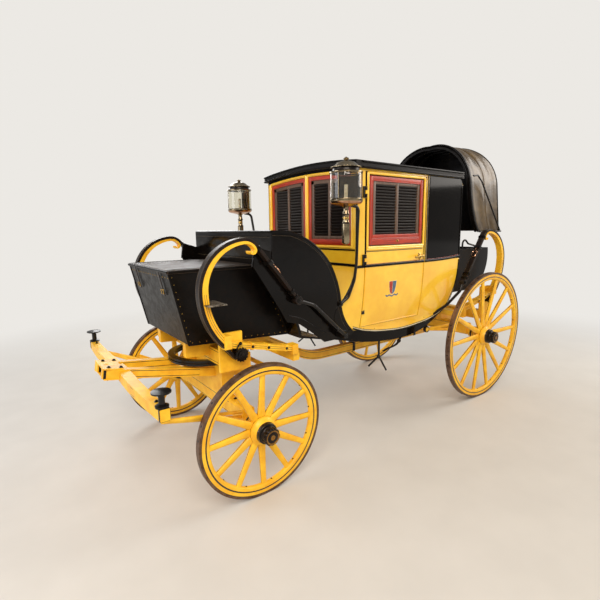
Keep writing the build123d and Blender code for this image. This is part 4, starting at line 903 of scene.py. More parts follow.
# the roof's cornice: black fillets above and below the frieze, following the arch in front
over = bodyLook["roofOver"]
half = bodyLook["out"] + over
for name, z, size in (("upper_cornice", 2176, (16, 9)), ("lower_cornice", 2137, (12, 8))):
    y = np.linspace(-half, half, 41)
    rise = bodyLook["crown"] * (1 - (y / half) ** 2)
    front = xyz(bodyLook["front"] + over, y, z + rise)[::-1]
    sideRun = np.array([(x, half, z) for x in (-1000, -1300, -1700, -2100, -2290)], float)
    parts = [layBead(bead(*size), front[::-1], toFront), layBead(bead(*size), sideRun, toLeft),
            layBead(bead(*size), (sideRun * (1, -1, 1))[::-1], (0, -1.0, 0))]
    rear = xyz(bodyLook["rear"] - over, y * 0.86, z + bodyLook["crown"] * (1 - (y * 0.86 / half) ** 2))
    parts.append(layBead(bead(*size), rear, (-1.0, 0, 0)))
    putMesh(name, parts, [blackLacquer], "coach")


windowLook = {"doorX": (-1752.0, -1103.0), "doorZ": (1561.0, 2085.0), "frontY": (19.0, 543.0), "frontFoot": 1562.0,
        "doorFrame": 34, "doorFoot": 50, "frontFrame": 32, "frontSill": 46, "slats": 17, "slatTurn": 52}


def barBox(x, y, z, paint=0, edge=1.5):
    # eased slab between two values of X, of Y and of Z
    return block((x[0], y[0], z[0]), (x[1], y[1], z[1]), paint, edge)


def louvres(x, z, y, paint):
    # sloping slats: each is a thin board turned about its length, a little wider than their pitch
    count, tilt = windowLook["slats"], math.radians(windowLook["slatTurn"])
    pitch = (z[1] - z[0]) / count
    profile = softBar(pitch * 1.28, 5.0, 1.2)
    turned = profile @ np.array([[math.cos(tilt), math.sin(tilt)], [-math.sin(tilt), math.cos(tilt)]])
    slats = []
    for k in range(count):
        level = z[0] + (k + 0.5) * pitch
        path = np.array([(x[0], y, level), ((x[0] + x[1]) / 2, y, level), (x[1], y, level)], float)
        slats.append(carry(turned, path, toLeft, paint))
    return slats


# door windows: red-brown frame, brown stiles and rails, dark louvres
# paints: 0 frame upright, 1 frame across, 2 slats with painted shade, 3 stiles
def doorShutter():
    (x0, x1), (z0, z1), wide, foot = (windowLook[key] for key in ("doorX", "doorZ", "doorFrame", "doorFoot"))
    ax, bx, az, bz = x0 + wide, x1 - wide, z0 + foot, z1 - wide
    frame = [barBox((x0, ax), (574, 596), (z0, z1), 0), barBox((bx, x1), (574, 596), (z0, z1), 0),
            barBox((ax - 1, bx + 1), (574, 595.5), (bz, z1), 1), barBox((ax - 1, bx + 1), (574, 595.5), (z0, az),
            1)]
    mid = (ax + bx) / 2
    frame += [barBox((ax, ax + 38), (572, 590), (az, bz), 3), barBox((bx - 38, bx), (572, 590), (az, bz), 3),
            barBox((ax + 37, bx - 37), (572, 589.5), (bz - 26, bz), 3), barBox((ax - 1, bx + 1), (572, 593),
            (az, az + 30), 1), barBox((mid - 15, mid + 15), (572, 590.5), (az, bz), 3)]
    frame += louvres((ax + 36, mid - 13), (az + 24, bz - 24), 580, 2)
    frame += louvres((mid + 13, bx - 36), (az + 24, bz - 24), 580, 2)
    frame.append(layBead(bead(7, 4, 5), inXz(roundedFrame((ax, az), (bx, bz), 3), 595.0)[::-1], toLeft, 0, True))
    pull = lathe([(9, -1), (9, 1), (5, 4), (4, 8), (8, 12), (8, 15), (4, 17.5), (1, 18)],
            (mid, 595, z0 + 26), toLeft, 14, 4)
    return frame + [pull]


shutterPaints = [mahoganyTall, mahoganyLong, slatWood, shutterStile, brassMetal]
putPair("_louvred_window", doorShutter(), shutterPaints, "_door_shutter")

# the roof's arch over the front: highest in the middle, falling with the square of Y to the edge
arch = lambda y, edge: edge + bodyLook["crown"] * (1 - (np.asarray(y, float) / half) ** 2)


def frontShutter():
    # the same as a door's, its head cut to the arch
    (y0, y1), z0, wide, foot = (windowLook[key] for key in ("frontY", "frontFoot", "frontFrame", "frontSill"))
    top = lambda y, drop: arch(y, 2083) - drop
    ay, by, az = y0 + wide, y1 - wide, z0 + foot
    mid = (ay + by) / 2
    frame = [barBox((-985, -963), (y0, ay), (z0, top(ay, 0)), 0), barBox((-985, -963), (by, y1), (z0, top(y1, 0)),
            0), barBox((-985, -963.5), (ay - 1, by + 1), (z0, az), 1)]
    y = np.linspace(ay - 2, by + 2, 15)
    for drop, deep, xs, paint in ((16, 32, (-974.3, 21), 1), (47, 30, (-978.5, 17), 3)):
        path = xyz(xs[0], y, top(y, drop))
        frame.append(carry(softBar(xs[1], deep, 2), path, toFront, paint))
    frame += [barBox((-987, -970), (ay, ay + 36), (az, top(ay + 36, 34)), 3), barBox((-987, -970), (by - 36, by),
            (az, top(by, 34)), 3), barBox((-987, -970.5), (ay + 35, by - 35), (az, az + 26), 3),
            barBox((-987, -969.5), (mid - 14, mid + 14), (az, top(mid, 34)), 3)]
    turnIn = lambda parts: [(np.asarray(p)[:, [1, 0, 2]], [row[::-1] for row in f], m) for p, f, m in parts]
    for a, b in ((ay + 34, mid - 12), (mid + 12, by - 34)):
        frame += turnIn(louvres((a, b), (az + 24, float(top(b, 62))), -979, 2))
    return frame


putMesh("front_louvred_windows", bothSides(frontShutter()), shutterPaints, "coach",
        covers=["front_shutters"])

# yellow beads round the windows
doorBead = inXz(roundedFrame((-1772, 1541), (-1083, 2104), 12), 597.0)[::-1]
doorInner = inXz(roundedFrame((-1756, 1557), (-1099, 2089), 6), 597.0)[::-1]
underWindow = np.array([(-1074, 1528), (-1300, 1528), (-1500, 1528), (-1700, 1528), (-1764, 1528)])
doorTrim = [layBead(bead(24, 9, 9), doorBead, toLeft, 0, True), layBead(bead(6, 4, 5), doorInner, toLeft, 1, True),
        sideBead([(-1792, 1415), (-1792, 1700), (-1792, 2110)], bead(13, 3, 5), 1),
        sideBead([(-1064, 1415), (-1064, 1700), (-1064, 2110)], bead(13, 3, 5), 1),
        sideBead(underWindow, bead(20, 9, 9), 0)]
# door edge: a yellow fillet all round the leaf, standing on the door
edgeLoop = runs(((-1068, 2102), (-1068, 916), 30), ((-1070, 914), (-1784, 914), 12),
        ((-1786, 916), (-1786, 2102), 30), ((-1784, 2104), (-1070, 2104), 12))
doorTrim.append(layBead(bead(6, 3.2, 5), onSide(edgeLoop), (0, 1.0, 0.02), 0, True))
doorTrim.append(sideBead(underWindow - (0, 16), bead(5, 4, 5), 1))
doorTrim.append(sideBead([(-1067, 1412), (-1067, 1600), (-1067, 1900), (-1067, 2104)], bead(9, 5, 5), 1))
doorTrim.append(sidePanel(([(-1786, 1412), (-1776, 1412)], [(-1786, 2106), (-1776, 2106)]), 0.7, 1))
# belt across the door in two parts, clear of the handle
doorTrim.append(sideBead([(-1062, 1400), (-1300, 1400), (-1560, 1400), (-1793, 1400)], bead(22, 8, 9), 1))
doorTrim.append(sideBead([(-1062, 1414.5), (-1300, 1414.5), (-1560, 1414.5), (-1793, 1414.5)], bead(3.2, 2.6, 5),
        2))
putPair("_door_mouldings", doorTrim, [yellowPaint, blackLacquer, mahoganyLong])

frontTrim = []
for y0, y1 in ((6.0, 558.0), (-558.0, -6.0)):
    y = np.linspace(y0 + 4, y1 - 4, 25)
    upperRun = xyz(-960, y, arch(y, 2099))
    lowerRun = xyz(-960, y[::-1], 1548)
    z = np.linspace(1560, float(arch(y1 - 4, 2088)), 12)
    rise = xyz(-960, y1 - 3, z)
    fall = xyz(-960, y0 + 3, np.linspace(float(arch(y0 + 4, 2088)), 1560, 12))
    loop = np.concatenate([upperRun[::-1], fall, lowerRun[::-1], rise])
    frontTrim.append(layBead(bead(17, 8, 9), loop, toFront, 0, True))
y = np.linspace(-590, 590, 31)
for z in (2110.0, 2124.0):
    frontTrim.append(layBead(softBar(19, 3, 0.6), xyz(-960, y, arch(y, z)), toFront, 1))
for z, wide in ((1528, 14), (1412, 22)):
    y = np.linspace(-588, 588, 25)
    frontTrim.append(layBead(bead(wide, 8, 9), xyz(-960, y, z), toFront, 1))
putMesh("front_face_mouldings", frontTrim, [yellowPaint, blackLacquer], "coach")

# brass studs, hinge straps and handles
studs = []
for x, z in ((-1240, 868), (-1560, 848), (-1110, 884), (-1700, 849), (-1900, 868)):
    studs.append(dome((x, float(sideY(z)), z), (0, 1, -0.1), 6.5, 4, 0, 10, 4))
putMesh("sill_studs", bothSides(studs), [brassMetal], "coach")


def hingeStrap(z, flat):
    # plate with two screws, on the panel's curve where it is flat to it
    y = float(sideY(z)) if flat else 597.0
    parts = [barBox((-1088, -1059), (y - 3, y + 3.5), (z - 15, z + 15), 0, 1.2)]
    for dx in (-1066, -1078):
        parts.append(dome((dx, y + 3, z + (6 if dx > -1070 else -6)), toLeft, 3.2, 1.6, 0, 8, 3))
    return parts


putPair("_hinge_straps", hingeStrap(1030, True) + hingeStrap(1450, False) + hingeStrap(1960, False), [blackIron])


def doorHandle():
    # cast lever: rose, stem, a flat lever that swells at the end into a scroll, and the plate behind it
    x, z, y = -1730.0, 1450.0, 597.0
    rose = lathe([(27, -1), (27, 2), (24, 4), (20, 4.5), (18, 7), (12, 9), (9, 12), (8.5, 30), (11, 33), (11, 40),
            (7, 43), (2, 44)], (x, y, z), toLeft, 28)
    lever = smoothPath([(x - 26, y + 36, z + 8), (x - 14, y + 37, z + 2), (x, y + 37, z), (x + 30, y + 37, z + 1),
            (x + 62, y + 38, z - 3), (x + 84, y + 38, z - 10), (x + 96, y + 37, z - 6), (x + 98, y + 36, z + 4)], 6)
    run = np.linspace(0, 1, len(lever))
    wide = np.interp(run, [0, 0.1, 0.25, 0.4, 0.7, 0.88, 1], [0.5, 0.9, 1.25, 0.8, 0.95, 1.2, 0.45])
    bar = carry(softBar(9, 15, 3), lever, toLeft, grow=np.stack([np.ones(len(run)), wide], 1))
    tip = lathe([(2, -6), (6, -5), (8, -1), (8, 2), (5, 6), (2, 7)], (x - 28, y + 36, z + 9), (-1, 0, 0.3), 14)
    plate = smoothPath([(x - 2, y + 0.5, z - 52), (x - 1, y + 0.5, z - 30), (x, y + 0.5, z),
            (x - 1, y + 0.5, z + 26)], 5)
    swell = np.interp(np.linspace(0, 1, len(plate)), [0, 0.15, 0.35, 0.6, 0.85, 1], [0.4, 1.0, 0.6, 1.3, 0.8, 0.3])
    back = carry(softBar(26, 5, 2), plate, toFront, grow=np.stack([swell, np.ones(len(plate))], 1))
    keyhole = lathe([(7, 0), (7, 3.5), (4.5, 4.2), (3, 3.2)], (x - 2, y + 2, z - 36), toLeft, 14)
    return [rose, bar, tip, back, keyhole]


putPair("_brass_lever", doorHandle(), [brassMetal], "_door_handle")

# a plain two-coloured shield with a ribbon under it, painted on each door
def paintedPatch(points, lift, paint):
    # thin patch on the side: a fan of faces from the middle of its outline
    ring = onSide(np.asarray(points, float), bodyLook["out"], lift)
    count = len(ring)
    both = np.concatenate([ring, ring - (0, 1.6, 0), [ring.mean(0)], [ring.mean(0) - (0, 1.6, 0)]])
    faces = []
    for n in range(count):
        m = (n + 1) % count
        faces += [[2 * count, m, n], [2 * count + 1, count + n, count + m], [n, m, count + m, count + n]]
    return both, faces, paint


shieldLook = {"at": (-1397.0, 1206.0), "half": 44.0, "top": 50.0, "foot": -58.0}


def shieldHalf(low, high, grow=0.0):
    # flat top, sides that curve in to a point below; cut at the shares low and high of its width
    look = shieldLook
    side = np.linspace(low, high, 16)
    foot = look["top"] + (look["foot"] - look["top"] - grow) * (1 - np.abs(side) ** 2.6) ** 0.6
    x = look["at"][0] - side * (look["half"] + grow)
    lowLine = np.column_stack([x, look["at"][1] + foot])
    topLine = np.array([(x[-1], look["at"][1] + look["top"] + grow), (x[0], look["at"][1] + look["top"] + grow)])
    return np.concatenate([lowLine, topLine])


ribbon = smoothPath([(-1322, 1146), (-1340, 1134), (-1366, 1142), (-1397, 1130), (-1428, 1142), (-1454, 1134),
        (-1472, 1146)], 5)
shield = [paintedPatch(shieldHalf(-1, 1, 3.5), 0.5, 0), paintedPatch(shieldHalf(-1, -0.03), 0.9, 1),
        paintedPatch(shieldHalf(0.03, 1), 0.9, 2), sideBead(ribbon, bead(13, 1.0, 5, 0.6), 2)]
putPair("_door_shield", shield, [creamLine, mahoganyLong, smaltBlue])
print("body trims ready")

# Springs, straps, windlasses and steps

springLook = {"y": 630.0, "front": (295.0, 1328.0), "rear": (-3035.0, 1345.0), "topR": 280, "backR": 440,
        "backTurn": 41, "footR": 150, "footTurn": 36, "tail": 470, "strapGrow": 29,
        "frontTurn": 52, "rearTurn": 57, "frontRun": 480, "rearRun": 520, "footRun": 150}


def cPath(at, side, grow, up, down, spacing=9.0):
    # the C's line in X and Z, from its foot round the outermost point and over the top
    start = (at[0] + side * grow, at[1])
    low, _ = arcChain(start, (0, -1), [(r, -side * t) if r else (0, t) for r, t in down], spacing)
    high, way = arcChain(start, (0, 1), [(r, side * t) if r else (0, t) for r, t in up], spacing)
    return np.concatenate([low[::-1], high[1:]]), way


def hoop(at, along, side, low, high, wide, thick, paint=0, radius=4):
    # band round a bar: a rounded rectangle across the bar, as wide along it as `wide`
    along, side = unit(along), unit(side)
    rise = np.cross(along, side)
    frame2 = roundedFrame(low, high, radius, 4)
    path = np.asarray(at, float) + frame2[:, :1] * side + frame2[:, 1:] * rise
    centre = np.asarray(at, float) + (low[0] + high[0]) / 2 * side + (low[1] + high[1]) / 2 * rise
    return layBead(softBar(wide, thick, thick * 0.3), path, path - centre, paint, True)


layerEdge = [(26.4, -10), (28, -8.7), (28, -4.5), (26.2, -3.4), (28, -2.3), (28, 2.3), (26.2, 3.4), (28, 4.5),
        (28, 8.7), (26.4, 10)]
strapProfile = np.array(layerEdge + [(-u, -v) for u, v in layerEdge])
strapParts = {"front": [], "rear": []}
springTrim = {"front": [], "rear": []}
fittings = []
for name, side in (("front", 1), ("rear", -1)):
    at, straps, clips = springLook[name], strapParts[name], springTrim[name]
    y, grow = springLook["y"], springLook["strapGrow"]
    turnOver, run = springLook[name + "Turn"], springLook[name + "Run"]
    path, way = cPath(at, side, grow, [(springLook["topR"] + grow, 88), (105, turnOver), (0, run)],
            [(springLook["backR"] + grow, springLook["backTurn"]), (0, springLook["footRun"])])
    line = inXz(path, y)
    straps.append(carry(strapProfile, line, toLeft))
    along = unit(np.gradient(line, axis=0))
    outward = -side * np.cross(along, toLeft)
    for u in (21.5, -21.5):
        straps.append(stitchRow(line[4:] + outward[4:] * 10 + (0, u, 0), outward[4:], 8, 5.5, 1.9, 1.0, 1))
    eye = np.array([line[-1, 0] + way[0] * 20.3, y, line[-1, 2] + way[1] * 20.3])
    loop = circle(eye, 25.5, 28)
    straps.append(layBead(softBar(55, 8, 2.4), loop, loop - eye, 0, True))
    # keepers and the buckle on the straight run
    straight = np.array([way[0], 0, way[1]])
    start = line[-1] - straight * run
    for d, wide, size, paint in ((26, 22, 12.5, 2), (150, 30, 14.5, 3), (run - 70, 24, 13, 2),
            (run - 22, 16, 13, 2)):
        straps.append(hoop(start + straight * d, straight, toLeft, (-31 - (paint == 3) * 3, -size),
                (31 + (paint == 3) * 3, size), wide, 5 if paint == 2 else 7, paint))
    normal = -side * np.cross(straight, toLeft)
    straps.append(buckle(start + straight * 226 + normal * 15, normal, straight, (22, 34), 21, roundBar(5.2, 10), 4,
            7))
    tongue = np.array([start + straight * (150 + t) + normal * (13 + 5 * math.sin(t / 70 * math.pi))
            for t in np.linspace(0, 62, 8)])
    straps.append(carry(softBar(13, 5, 1.5), tongue, toLeft, 4))
    # dark lines between the leaves, on both narrow faces
    for lift in (6.0, -6.0):
        leafLine, _ = cPath(at, side, lift, [], [(springLook["backR"] + lift, springLook["backTurn"]),
                (springLook["footR"] + lift, springLook["footTurn"]), (0, springLook["tail"] - 10)], 12)
        for faceY, out in ((y + 29.0, 1.0), (y - 29.0, -1.0)):
            clips.append(layBead(bead(2.4, 0.9, 5, 0.4), inXz(leafLine, faceY), (0, out, 0), 1))
    # clip plates with bolts where the leaves are held, one low on the back and one near the foot
    clipLine, _ = cPath(at, side, 0, [], [(springLook["backR"], springLook["backTurn"]), (springLook["footR"],
            springLook["footTurn"]), (0, springLook["tail"] - 10)], 8)
    clipLine = inXz(clipLine[::-1], y)
    clipAlong = unit(np.gradient(clipLine, axis=0))
    for share in (0.60, 0.74, 0.90):
        k = int(share * len(clipLine))
        clips.append(hoop(clipLine[k], clipAlong[k], toLeft, (-31.5, -20.5), (31.5, 20.5), 22, 4.0, 0))
        for faceY, out in ((y + 34.0, 1.0), (y - 34.0, -1.0)):
            clips += nut((clipLine[k][0], faceY, clipLine[k][2]), (0, out, 0), 7, 5, 2)
# windlass: square end, ratchet bolt and pawl
for name, drum in (("front", (82.6, 931.4)), ("rear", (-2822.6, 948.4))):
    side = 1 if name == "front" else -1
    at = np.array([drum[0], 684.0, drum[1]])
    fittings += nut(at - toLeft, toLeft, 13, 9)
    around = np.linspace(0, 2 * math.pi, 7)[:-1]
    for a in around:
        fittings.append(dome(at + 25 * np.array([math.cos(a), -0.08, math.sin(a)]), toLeft, 4, 2.5, 0, 8, 3))
    pawl = smoothPath([at + (side * 6, -10, 74), at + (side * 22, -10, 64), at + (side * 32, -10, 50),
            at + (side * 36, -10, 36)], 5)
    fittings.append(carry(softBar(9, 11, 2), pawl, toLeft, 0, grow=np.linspace(1.1, 0.55, len(pawl))))
    fittings += nut(at + (side * 8, -10, 74), toLeft, 8, 6)
for name in ("front", "rear"):
    putMesh(name + "_stitched_straps", bothSides(strapParts[name]), [strapHide, waxThread, patentHide, blackIron,
            copperBuckle], "coach", covers=[name + "_thoroughbraces"])
    putMesh(name + "_spring_leaves_and_clips", bothSides(springTrim[name]), [yellowWheelPaint, blackLining,
            blackIron], "coach")
putMesh("windlass_nuts_and_pawls", bothSides(fittings), [capIron], "coach")

# steps on the front springs: chequered tread standing a little above the plate
tread = []
for i in range(7):
    for j in range(10):
        x, y = 246 - 48 + i * 16, 630 - 76 + j * 17
        if abs(x - 300) < 30 and abs(y - 630) < 32:
            continue
        tread.append(dome((x, y, 1269), toTop, 4.6, 1.8, 0, 6, 3))
rim = roundedFrame((-57, -85), (57, 85), 8, 4)
tread.append(layBead(roundBar(4, 8), xyz(246 + rim[:, 0], 630 + rim[:, 1], 1266), toTop, 0, True))
putMesh("step_treads", bothSides(tread), [treadIron], "coach")
print("springs and straps ready")

# Lamps: spun silver cap with a gallery of small domes, clear drum between two rims, dish and candle tube

lampLook = {"at": (-722.0, 742.0), "r": 108.0, "glass": (1882.0, 2062.0), "tube": 1580.0}


def lampParts():
    # profiles turned round the upright through the lamp
    # paints: 0 silver, 1 copper, 2 black, 3 wax, 4 brass, 5 wick, 6 dark tin
    x, y = lampLook["at"]
    low, high = lampLook["glass"]
    r = lampLook["r"]
    base, up = (x, y, 0), toTop
    cap = [(r - 2, high - 1), (r + 3.5, high - 1), (r + 5, high + 1), (r + 5, high + 5), (r + 2, high + 7.5),
            (r - 6, high + 9),
            (r - 16, high + 10), (r - 18, high + 13), (r - 18, high + 25), (r - 15, high + 28), (r - 8, high + 30),
            (r - 6, high + 32.5),
            (r - 6, high + 36), (r - 9, high + 38.5), (r - 20, high + 43), (78, high + 51), (66, high + 60),
            (58, high + 67), (40, high + 72.5),
            (22, high + 76), (17, high + 79), (12, high + 82), (11, high + 84), (17, high + 88), (19.5, high + 92),
            (17, high + 96),
            (9, high + 99), (6, high + 101), (7, high + 102.5), (3, high + 103.6), (0.4, high + 104)]
    tint = [0] * 3 + [2] * 8 + [0] * 19
    parts = [lathe(cap, base, up, 64, tint)]
    angle = np.arange(28) * 2 * math.pi / 28
    for a in angle:
        ray = np.array([math.cos(a), math.sin(a), 0])
        parts.append(dome(np.array(base) + ray * (r - 6.5) + (0, 0, high + 34.2), ray, 4.4, 3.0, 0, 8, 3))
    # rims that hold the glass, and three bars down it
    for z, wide in ((high - 3, 7), (low + 6, 8)):
        ring = circle((x, y, z), r + 1.5, 64, toFront, toLeft)
        parts.append(layBead(roundBar(wide / 2, 8), ring, ring - (x, y, z), 0, True))
    for a in (0.35, 2.44, 4.53):
        ray = np.array([math.cos(a), math.sin(a), 0])
        parts.append(carry(softBar(6, 4, 1), np.array(base) + ray * (r + 1.5)
                + np.array([(0, 0, low), (0, 0, (low + high) / 2), (0, 0, high)]),
                np.cross(ray, toTop), 0))
    dish = [(40, low - 40), (43, low - 40), (50, low - 37), (70, low - 33), (88, low - 29), (r - 5, low - 24),
            (r + 1, low - 17), (r + 4, low - 10),
            (r + 5.5, low - 5), (r + 5.5, low - 1), (r + 3, low + 1), (r - 5, low + 1), (r - 8, low - 3),
            (40, low - 12), (0.5, low - 12)]
    parts.append(lathe(dish, base, up, 64, [1, 1, 1, 1, 1, 1, 1, 0, 0, 0, 0, 0, 0, 0]))
    foot = lampLook["tube"]
    tube = [(4, foot), (10, foot + 2), (19, foot + 7), (25.5, foot + 13), (26.8, foot + 19), (26.8, 1652),
            (26.8, 1700), (26.8, low - 158), (26.8, low - 150), (22.5, low - 146), (20, low - 134), (20, low - 128),
            (22, low - 120),
            (20, low - 112), (20, low - 102), (23.5, low - 97), (24, low - 90), (21, low - 82), (18, low - 70),
            (17.5, low - 52), (21, low - 46), (32, low - 40), (32, low - 38)]
    parts.append(lathe(tube, base, up, 32, [0] * 7 + [2] + [0] * 3 + [4] * 2 + [0] * 2 + [2] + [0] * 6))
    # candle in its socket with a dark reflector behind it
    candle = [(14, low - 12), (23, low - 12), (24, low - 6), (15, low - 2), (13, low + 6), (13, low + 100),
            (12, low + 103), (4, low + 101), (0.5, low + 101)]
    parts.append(lathe(candle, base, up, 20, [4, 4, 4, 4, 3, 3, 3, 3]))
    parts.append(lathe([(0.4, low + 100), (1.2, low + 100), (1.1, low + 112), (0.5, low + 113)], base, up, 6, 5))
    a = np.linspace(0.62 * math.pi, 1.38 * math.pi, 20) + math.radians(20)
    back = xyz(x + (r - 14) * np.cos(a), y + (r - 14) * np.sin(a), 0)
    inside, outside = back - unit(back - (x, y, 0)) * 1.5, back
    z = np.array([low + 12, low + 60, low + 120, high - 10])
    grid = np.concatenate([np.stack([inside + (0, 0, h) for h in z]),
            np.stack([outside + (0, 0, h) for h in z[::-1]])])
    parts.append((grid.reshape(-1, 3), gridFaces(8, 20, True, False, True).tolist(), 6))
    return parts


lampSet = lampParts()
putMesh("silvered_lamps", bothSides(lampSet), [silverPlate, copperBuckle, capIron, candleWax, brassMetal, waxThread,
        darkTinReflector], "coach", covers=["lamps"])
low, high = lampLook["glass"]
wide = lampLook["r"]
wall = [(wide - 0.5, low), (wide, low + 4), (wide + 0.6, (low + high) / 2), (wide, high - 4), (wide - 0.5, high),
        (wide - 3.5, high),
        (wide - 3, high - 4), (wide - 2.4, (low + high) / 2), (wide - 3, low + 4), (wide - 3.5, low),
        (wide - 0.5, low)]
putMesh("lamp_glass_drums", bothSides([lathe(wall, (*lampLook["at"], 0), toTop, 72, 0, False)]), [clearGlass],
        "coach", covers=["lamp_glasses"])
print("lamps ready")

# Hood: one sheet of greased leather over its bows, fuller between them, with a bound front edge

hoodLook = {"half": 520.0, "crown": 2545.0, "foot": 1642.0, "cols": 150, "rows": 96, "thick": 3.4, "sink": 12.0,
        "front": [(-2790, 1642), (-2722, 1740), (-2668, 1870), (-2632, 2010), (-2611, 2160), (-2605, 2330),
        (-2613, 2450), (-2631, 2540)],
        "rear": [(-3206, 1642), (-3186, 1780), (-3163, 1930), (-3141, 2080), (-3121, 2230), (-3100, 2350),
        (-3070, 2440), (-3012, 2540)]}


def archAt(t, half, foot, high):
    # the bow seen from the front: Y and Z at a share of its length, upright sides and a flattened crown
    rise = high - foot
    shape = outline((half, foot), (half - 8, foot + rise * 0.52), ((half * 0.74, foot + rise * 0.86), (0, high)),
            count=40)
    shape = np.concatenate([shape, shape[-2::-1] * (-1, 1)])
    run = np.concatenate([[0], np.cumsum(np.linalg.norm(np.diff(shape, axis=0), axis=1))])
    return np.interp(t * run[-1], run, shape[:, 0]), np.interp(t * run[-1], run, shape[:, 1])


def edgeX(name, z):
    # X of the front or the rear edge at a height
    x, high = np.array(hoodLook[name], float).T
    return np.interp(z, high, x)


def hoodPoint(s, t, sink=0.0):
    # s goes from the front edge to the back, t round the bow from one foot over the crown to the other
    y, z = archAt(t, hoodLook["half"] - sink, hoodLook["foot"], hoodLook["crown"] - sink)
    front, rear = edgeX("front", z), edgeX("rear", z)
    return np.stack([front + (rear + sink - front) * s, y, z], -1)


look = hoodLook
s, t = np.meshgrid(np.linspace(0, 1, look["rows"]), np.linspace(0, 1, look["cols"]), indexing="ij")
sheetPoints = hoodPoint(s, t, look["sink"])
# between the bows the leather sags; folds gather towards the hinge low on each side
centre = np.abs(2 * t - 1)
sideShare = np.clip((centre - 0.42) / 0.5, 0, 1)
bows = np.array([0.0, 0.30, 0.62, 1.0])
near = np.min(np.abs(s[..., None] - bows), -1)
sag = -9.0 * np.clip(near / 0.16, 0, 1) ** 2 * (1 - 0.5 * sideShare)
fan = s * 2.6 + 0.16 * np.sin(t * 13.0)
pleat = 8.0 * sideShare * np.sin(2 * math.pi * fan) * np.sin(math.pi * s) ** 0.7
crown = 2.6 * np.sin(2 * math.pi * (s * 2.1 + 0.2 * np.sin(t * 11))) * (1 - sideShare) * np.sin(math.pi * s)
slack = 2.4 * np.sin(17 * t + 5 * s) * np.sin(9 * s + 3 * t) + 1.1 * np.sin(41 * t - 9 * s) * np.sin(16 * s)
ds, dt = np.gradient(sheetPoints, axis=0), np.gradient(sheetPoints, axis=1)
outwardHood = unit(np.cross(dt, ds))
flip = np.sign((outwardHood * (sheetPoints - np.array([-2880, 0, 1900]))).sum(-1, keepdims=True))
outwardHood = outwardHood * flip
wave = np.clip(sag + pleat + crown + slack, -22, 9)
skin = sheetPoints + outwardHood * wave[..., None]
rows, cols = look["rows"], look["cols"]
faces = gridFaces(rows, cols)
quadFirst = np.cross(skin[rows // 2, cols // 2 + 1] - skin[rows // 2, cols // 2], skin[rows // 2 + 1, cols // 2 + 1]
        - skin[rows // 2, cols // 2])
if quadFirst[2] < 0:
    faces = faces[:, ::-1]
hoodPiece = putMesh("hood_leather", [(skin.reshape(-1, 3), faces.tolist(), 0)], [hoodHide, bootHide], "coach",
        angle=80, covers=["hood"])


def thicken(piece):
    # leather's thickness, inwards, with the inside and the cut edge in the black boot leather: painted shade inside
    # the hood
    solidify = piece.modifiers.new("leather", "SOLIDIFY")
    solidify.thickness, solidify.offset = hoodLook["thick"] / 1000, -1.0
    solidify.material_offset = solidify.material_offset_rim = 1


thicken(hoodPiece)

# welts: bound front edge, seams over the bows, rolled foot, with stitching beside them
def hoodLine(share, lift=0.0):
    # the sheet's row nearest a share of its way back, lifted off it, and the directions outwards there
    col = int(round(share * (rows - 1)))
    line = skin[col] + outwardHood[col] * lift
    return line, outwardHood[col]


trim = []
edgeLine, edgeOut = hoodLine(0.0, lift=-1.5)
trim.append(layBead(roundBar(7.5, 10), edgeLine, edgeOut, 1))
binding = hoodLine(0.028, lift=-0.2)
trim.append(layBead(bead(34, 2.2, 7), binding[0], binding[1], 1))
line, out = hoodLine(0.5, lift=0.3)
trim.append(layBead(bead(9, 2.6, 7), line, out, 0))
for share in (0.475, 0.525, 0.05):
    line, out = hoodLine(share, lift=0.4)
    trim.append(stitchRow(line, out, 8, 7, 1.6, 0.7, 2))
line, out = hoodLine(1.0, lift=-1.0)
trim.append(layBead(roundBar(6.5, 10), line, out, 1))
trim.append(layBead(roundBar(6.5, 10), skin[:, 0], outwardHood[:, 0], 1))
trim.append(layBead(roundBar(6.5, 10), skin[:, -1], outwardHood[:, -1], 1))
hoodTrim = putMesh("hood_welts_and_stitching", trim, [hoodHide, bootHide, waxThread], "coach")
# back panel, sewn to the rear bow under a welt and slightly hollow
backRows, backCols = 50, 44
v, q = np.meshgrid(np.linspace(0.002, 1, backRows), np.linspace(-1, 1, backCols), indexing="ij")
rimY, rimZ = archAt(v * 0.5, hoodLook["half"] - hoodLook["sink"], hoodLook["foot"], hoodLook["crown"]
        - hoodLook["sink"])
rimX = edgeX("rear", rimZ) + hoodLook["sink"]
hollow = 16 * (1 - q ** 2) * np.sin(math.pi * np.clip(v, 0, 0.96)) + 3 * np.sin(9 * q + 3 * v) * (1 - q ** 2)
backSkin = np.stack([rimX + hollow, rimY * q, rimZ], -1)
backFaces = gridFaces(backRows, backCols)
corner = backSkin.reshape(-1, 3)[backFaces[200]]
if np.cross(corner[1] - corner[0], corner[2] - corner[0])[0] > 0:
    backFaces = backFaces[:, ::-1]
backPiece = putMesh("hood_back_leather", [(backSkin.reshape(-1, 3), backFaces.tolist(), 0)], [hoodHide, bootHide],
        "coach", angle=80)
thicken(backPiece)
# leather-covered bows inside
bowParts = []
for share in (0.012, 0.30, 0.62, 0.97):
    line = hoodPoint(np.full(61, share), np.linspace(0.0, 1.0, 61), 40.0)
    along = unit(np.gradient(line, axis=0))
    bowParts.append(carry(softBar(18, 26, 5), line, toFront))
putMesh("hood_bows", bowParts, [bootHide], "coach")

# Dash, boot and the irons' fastenings

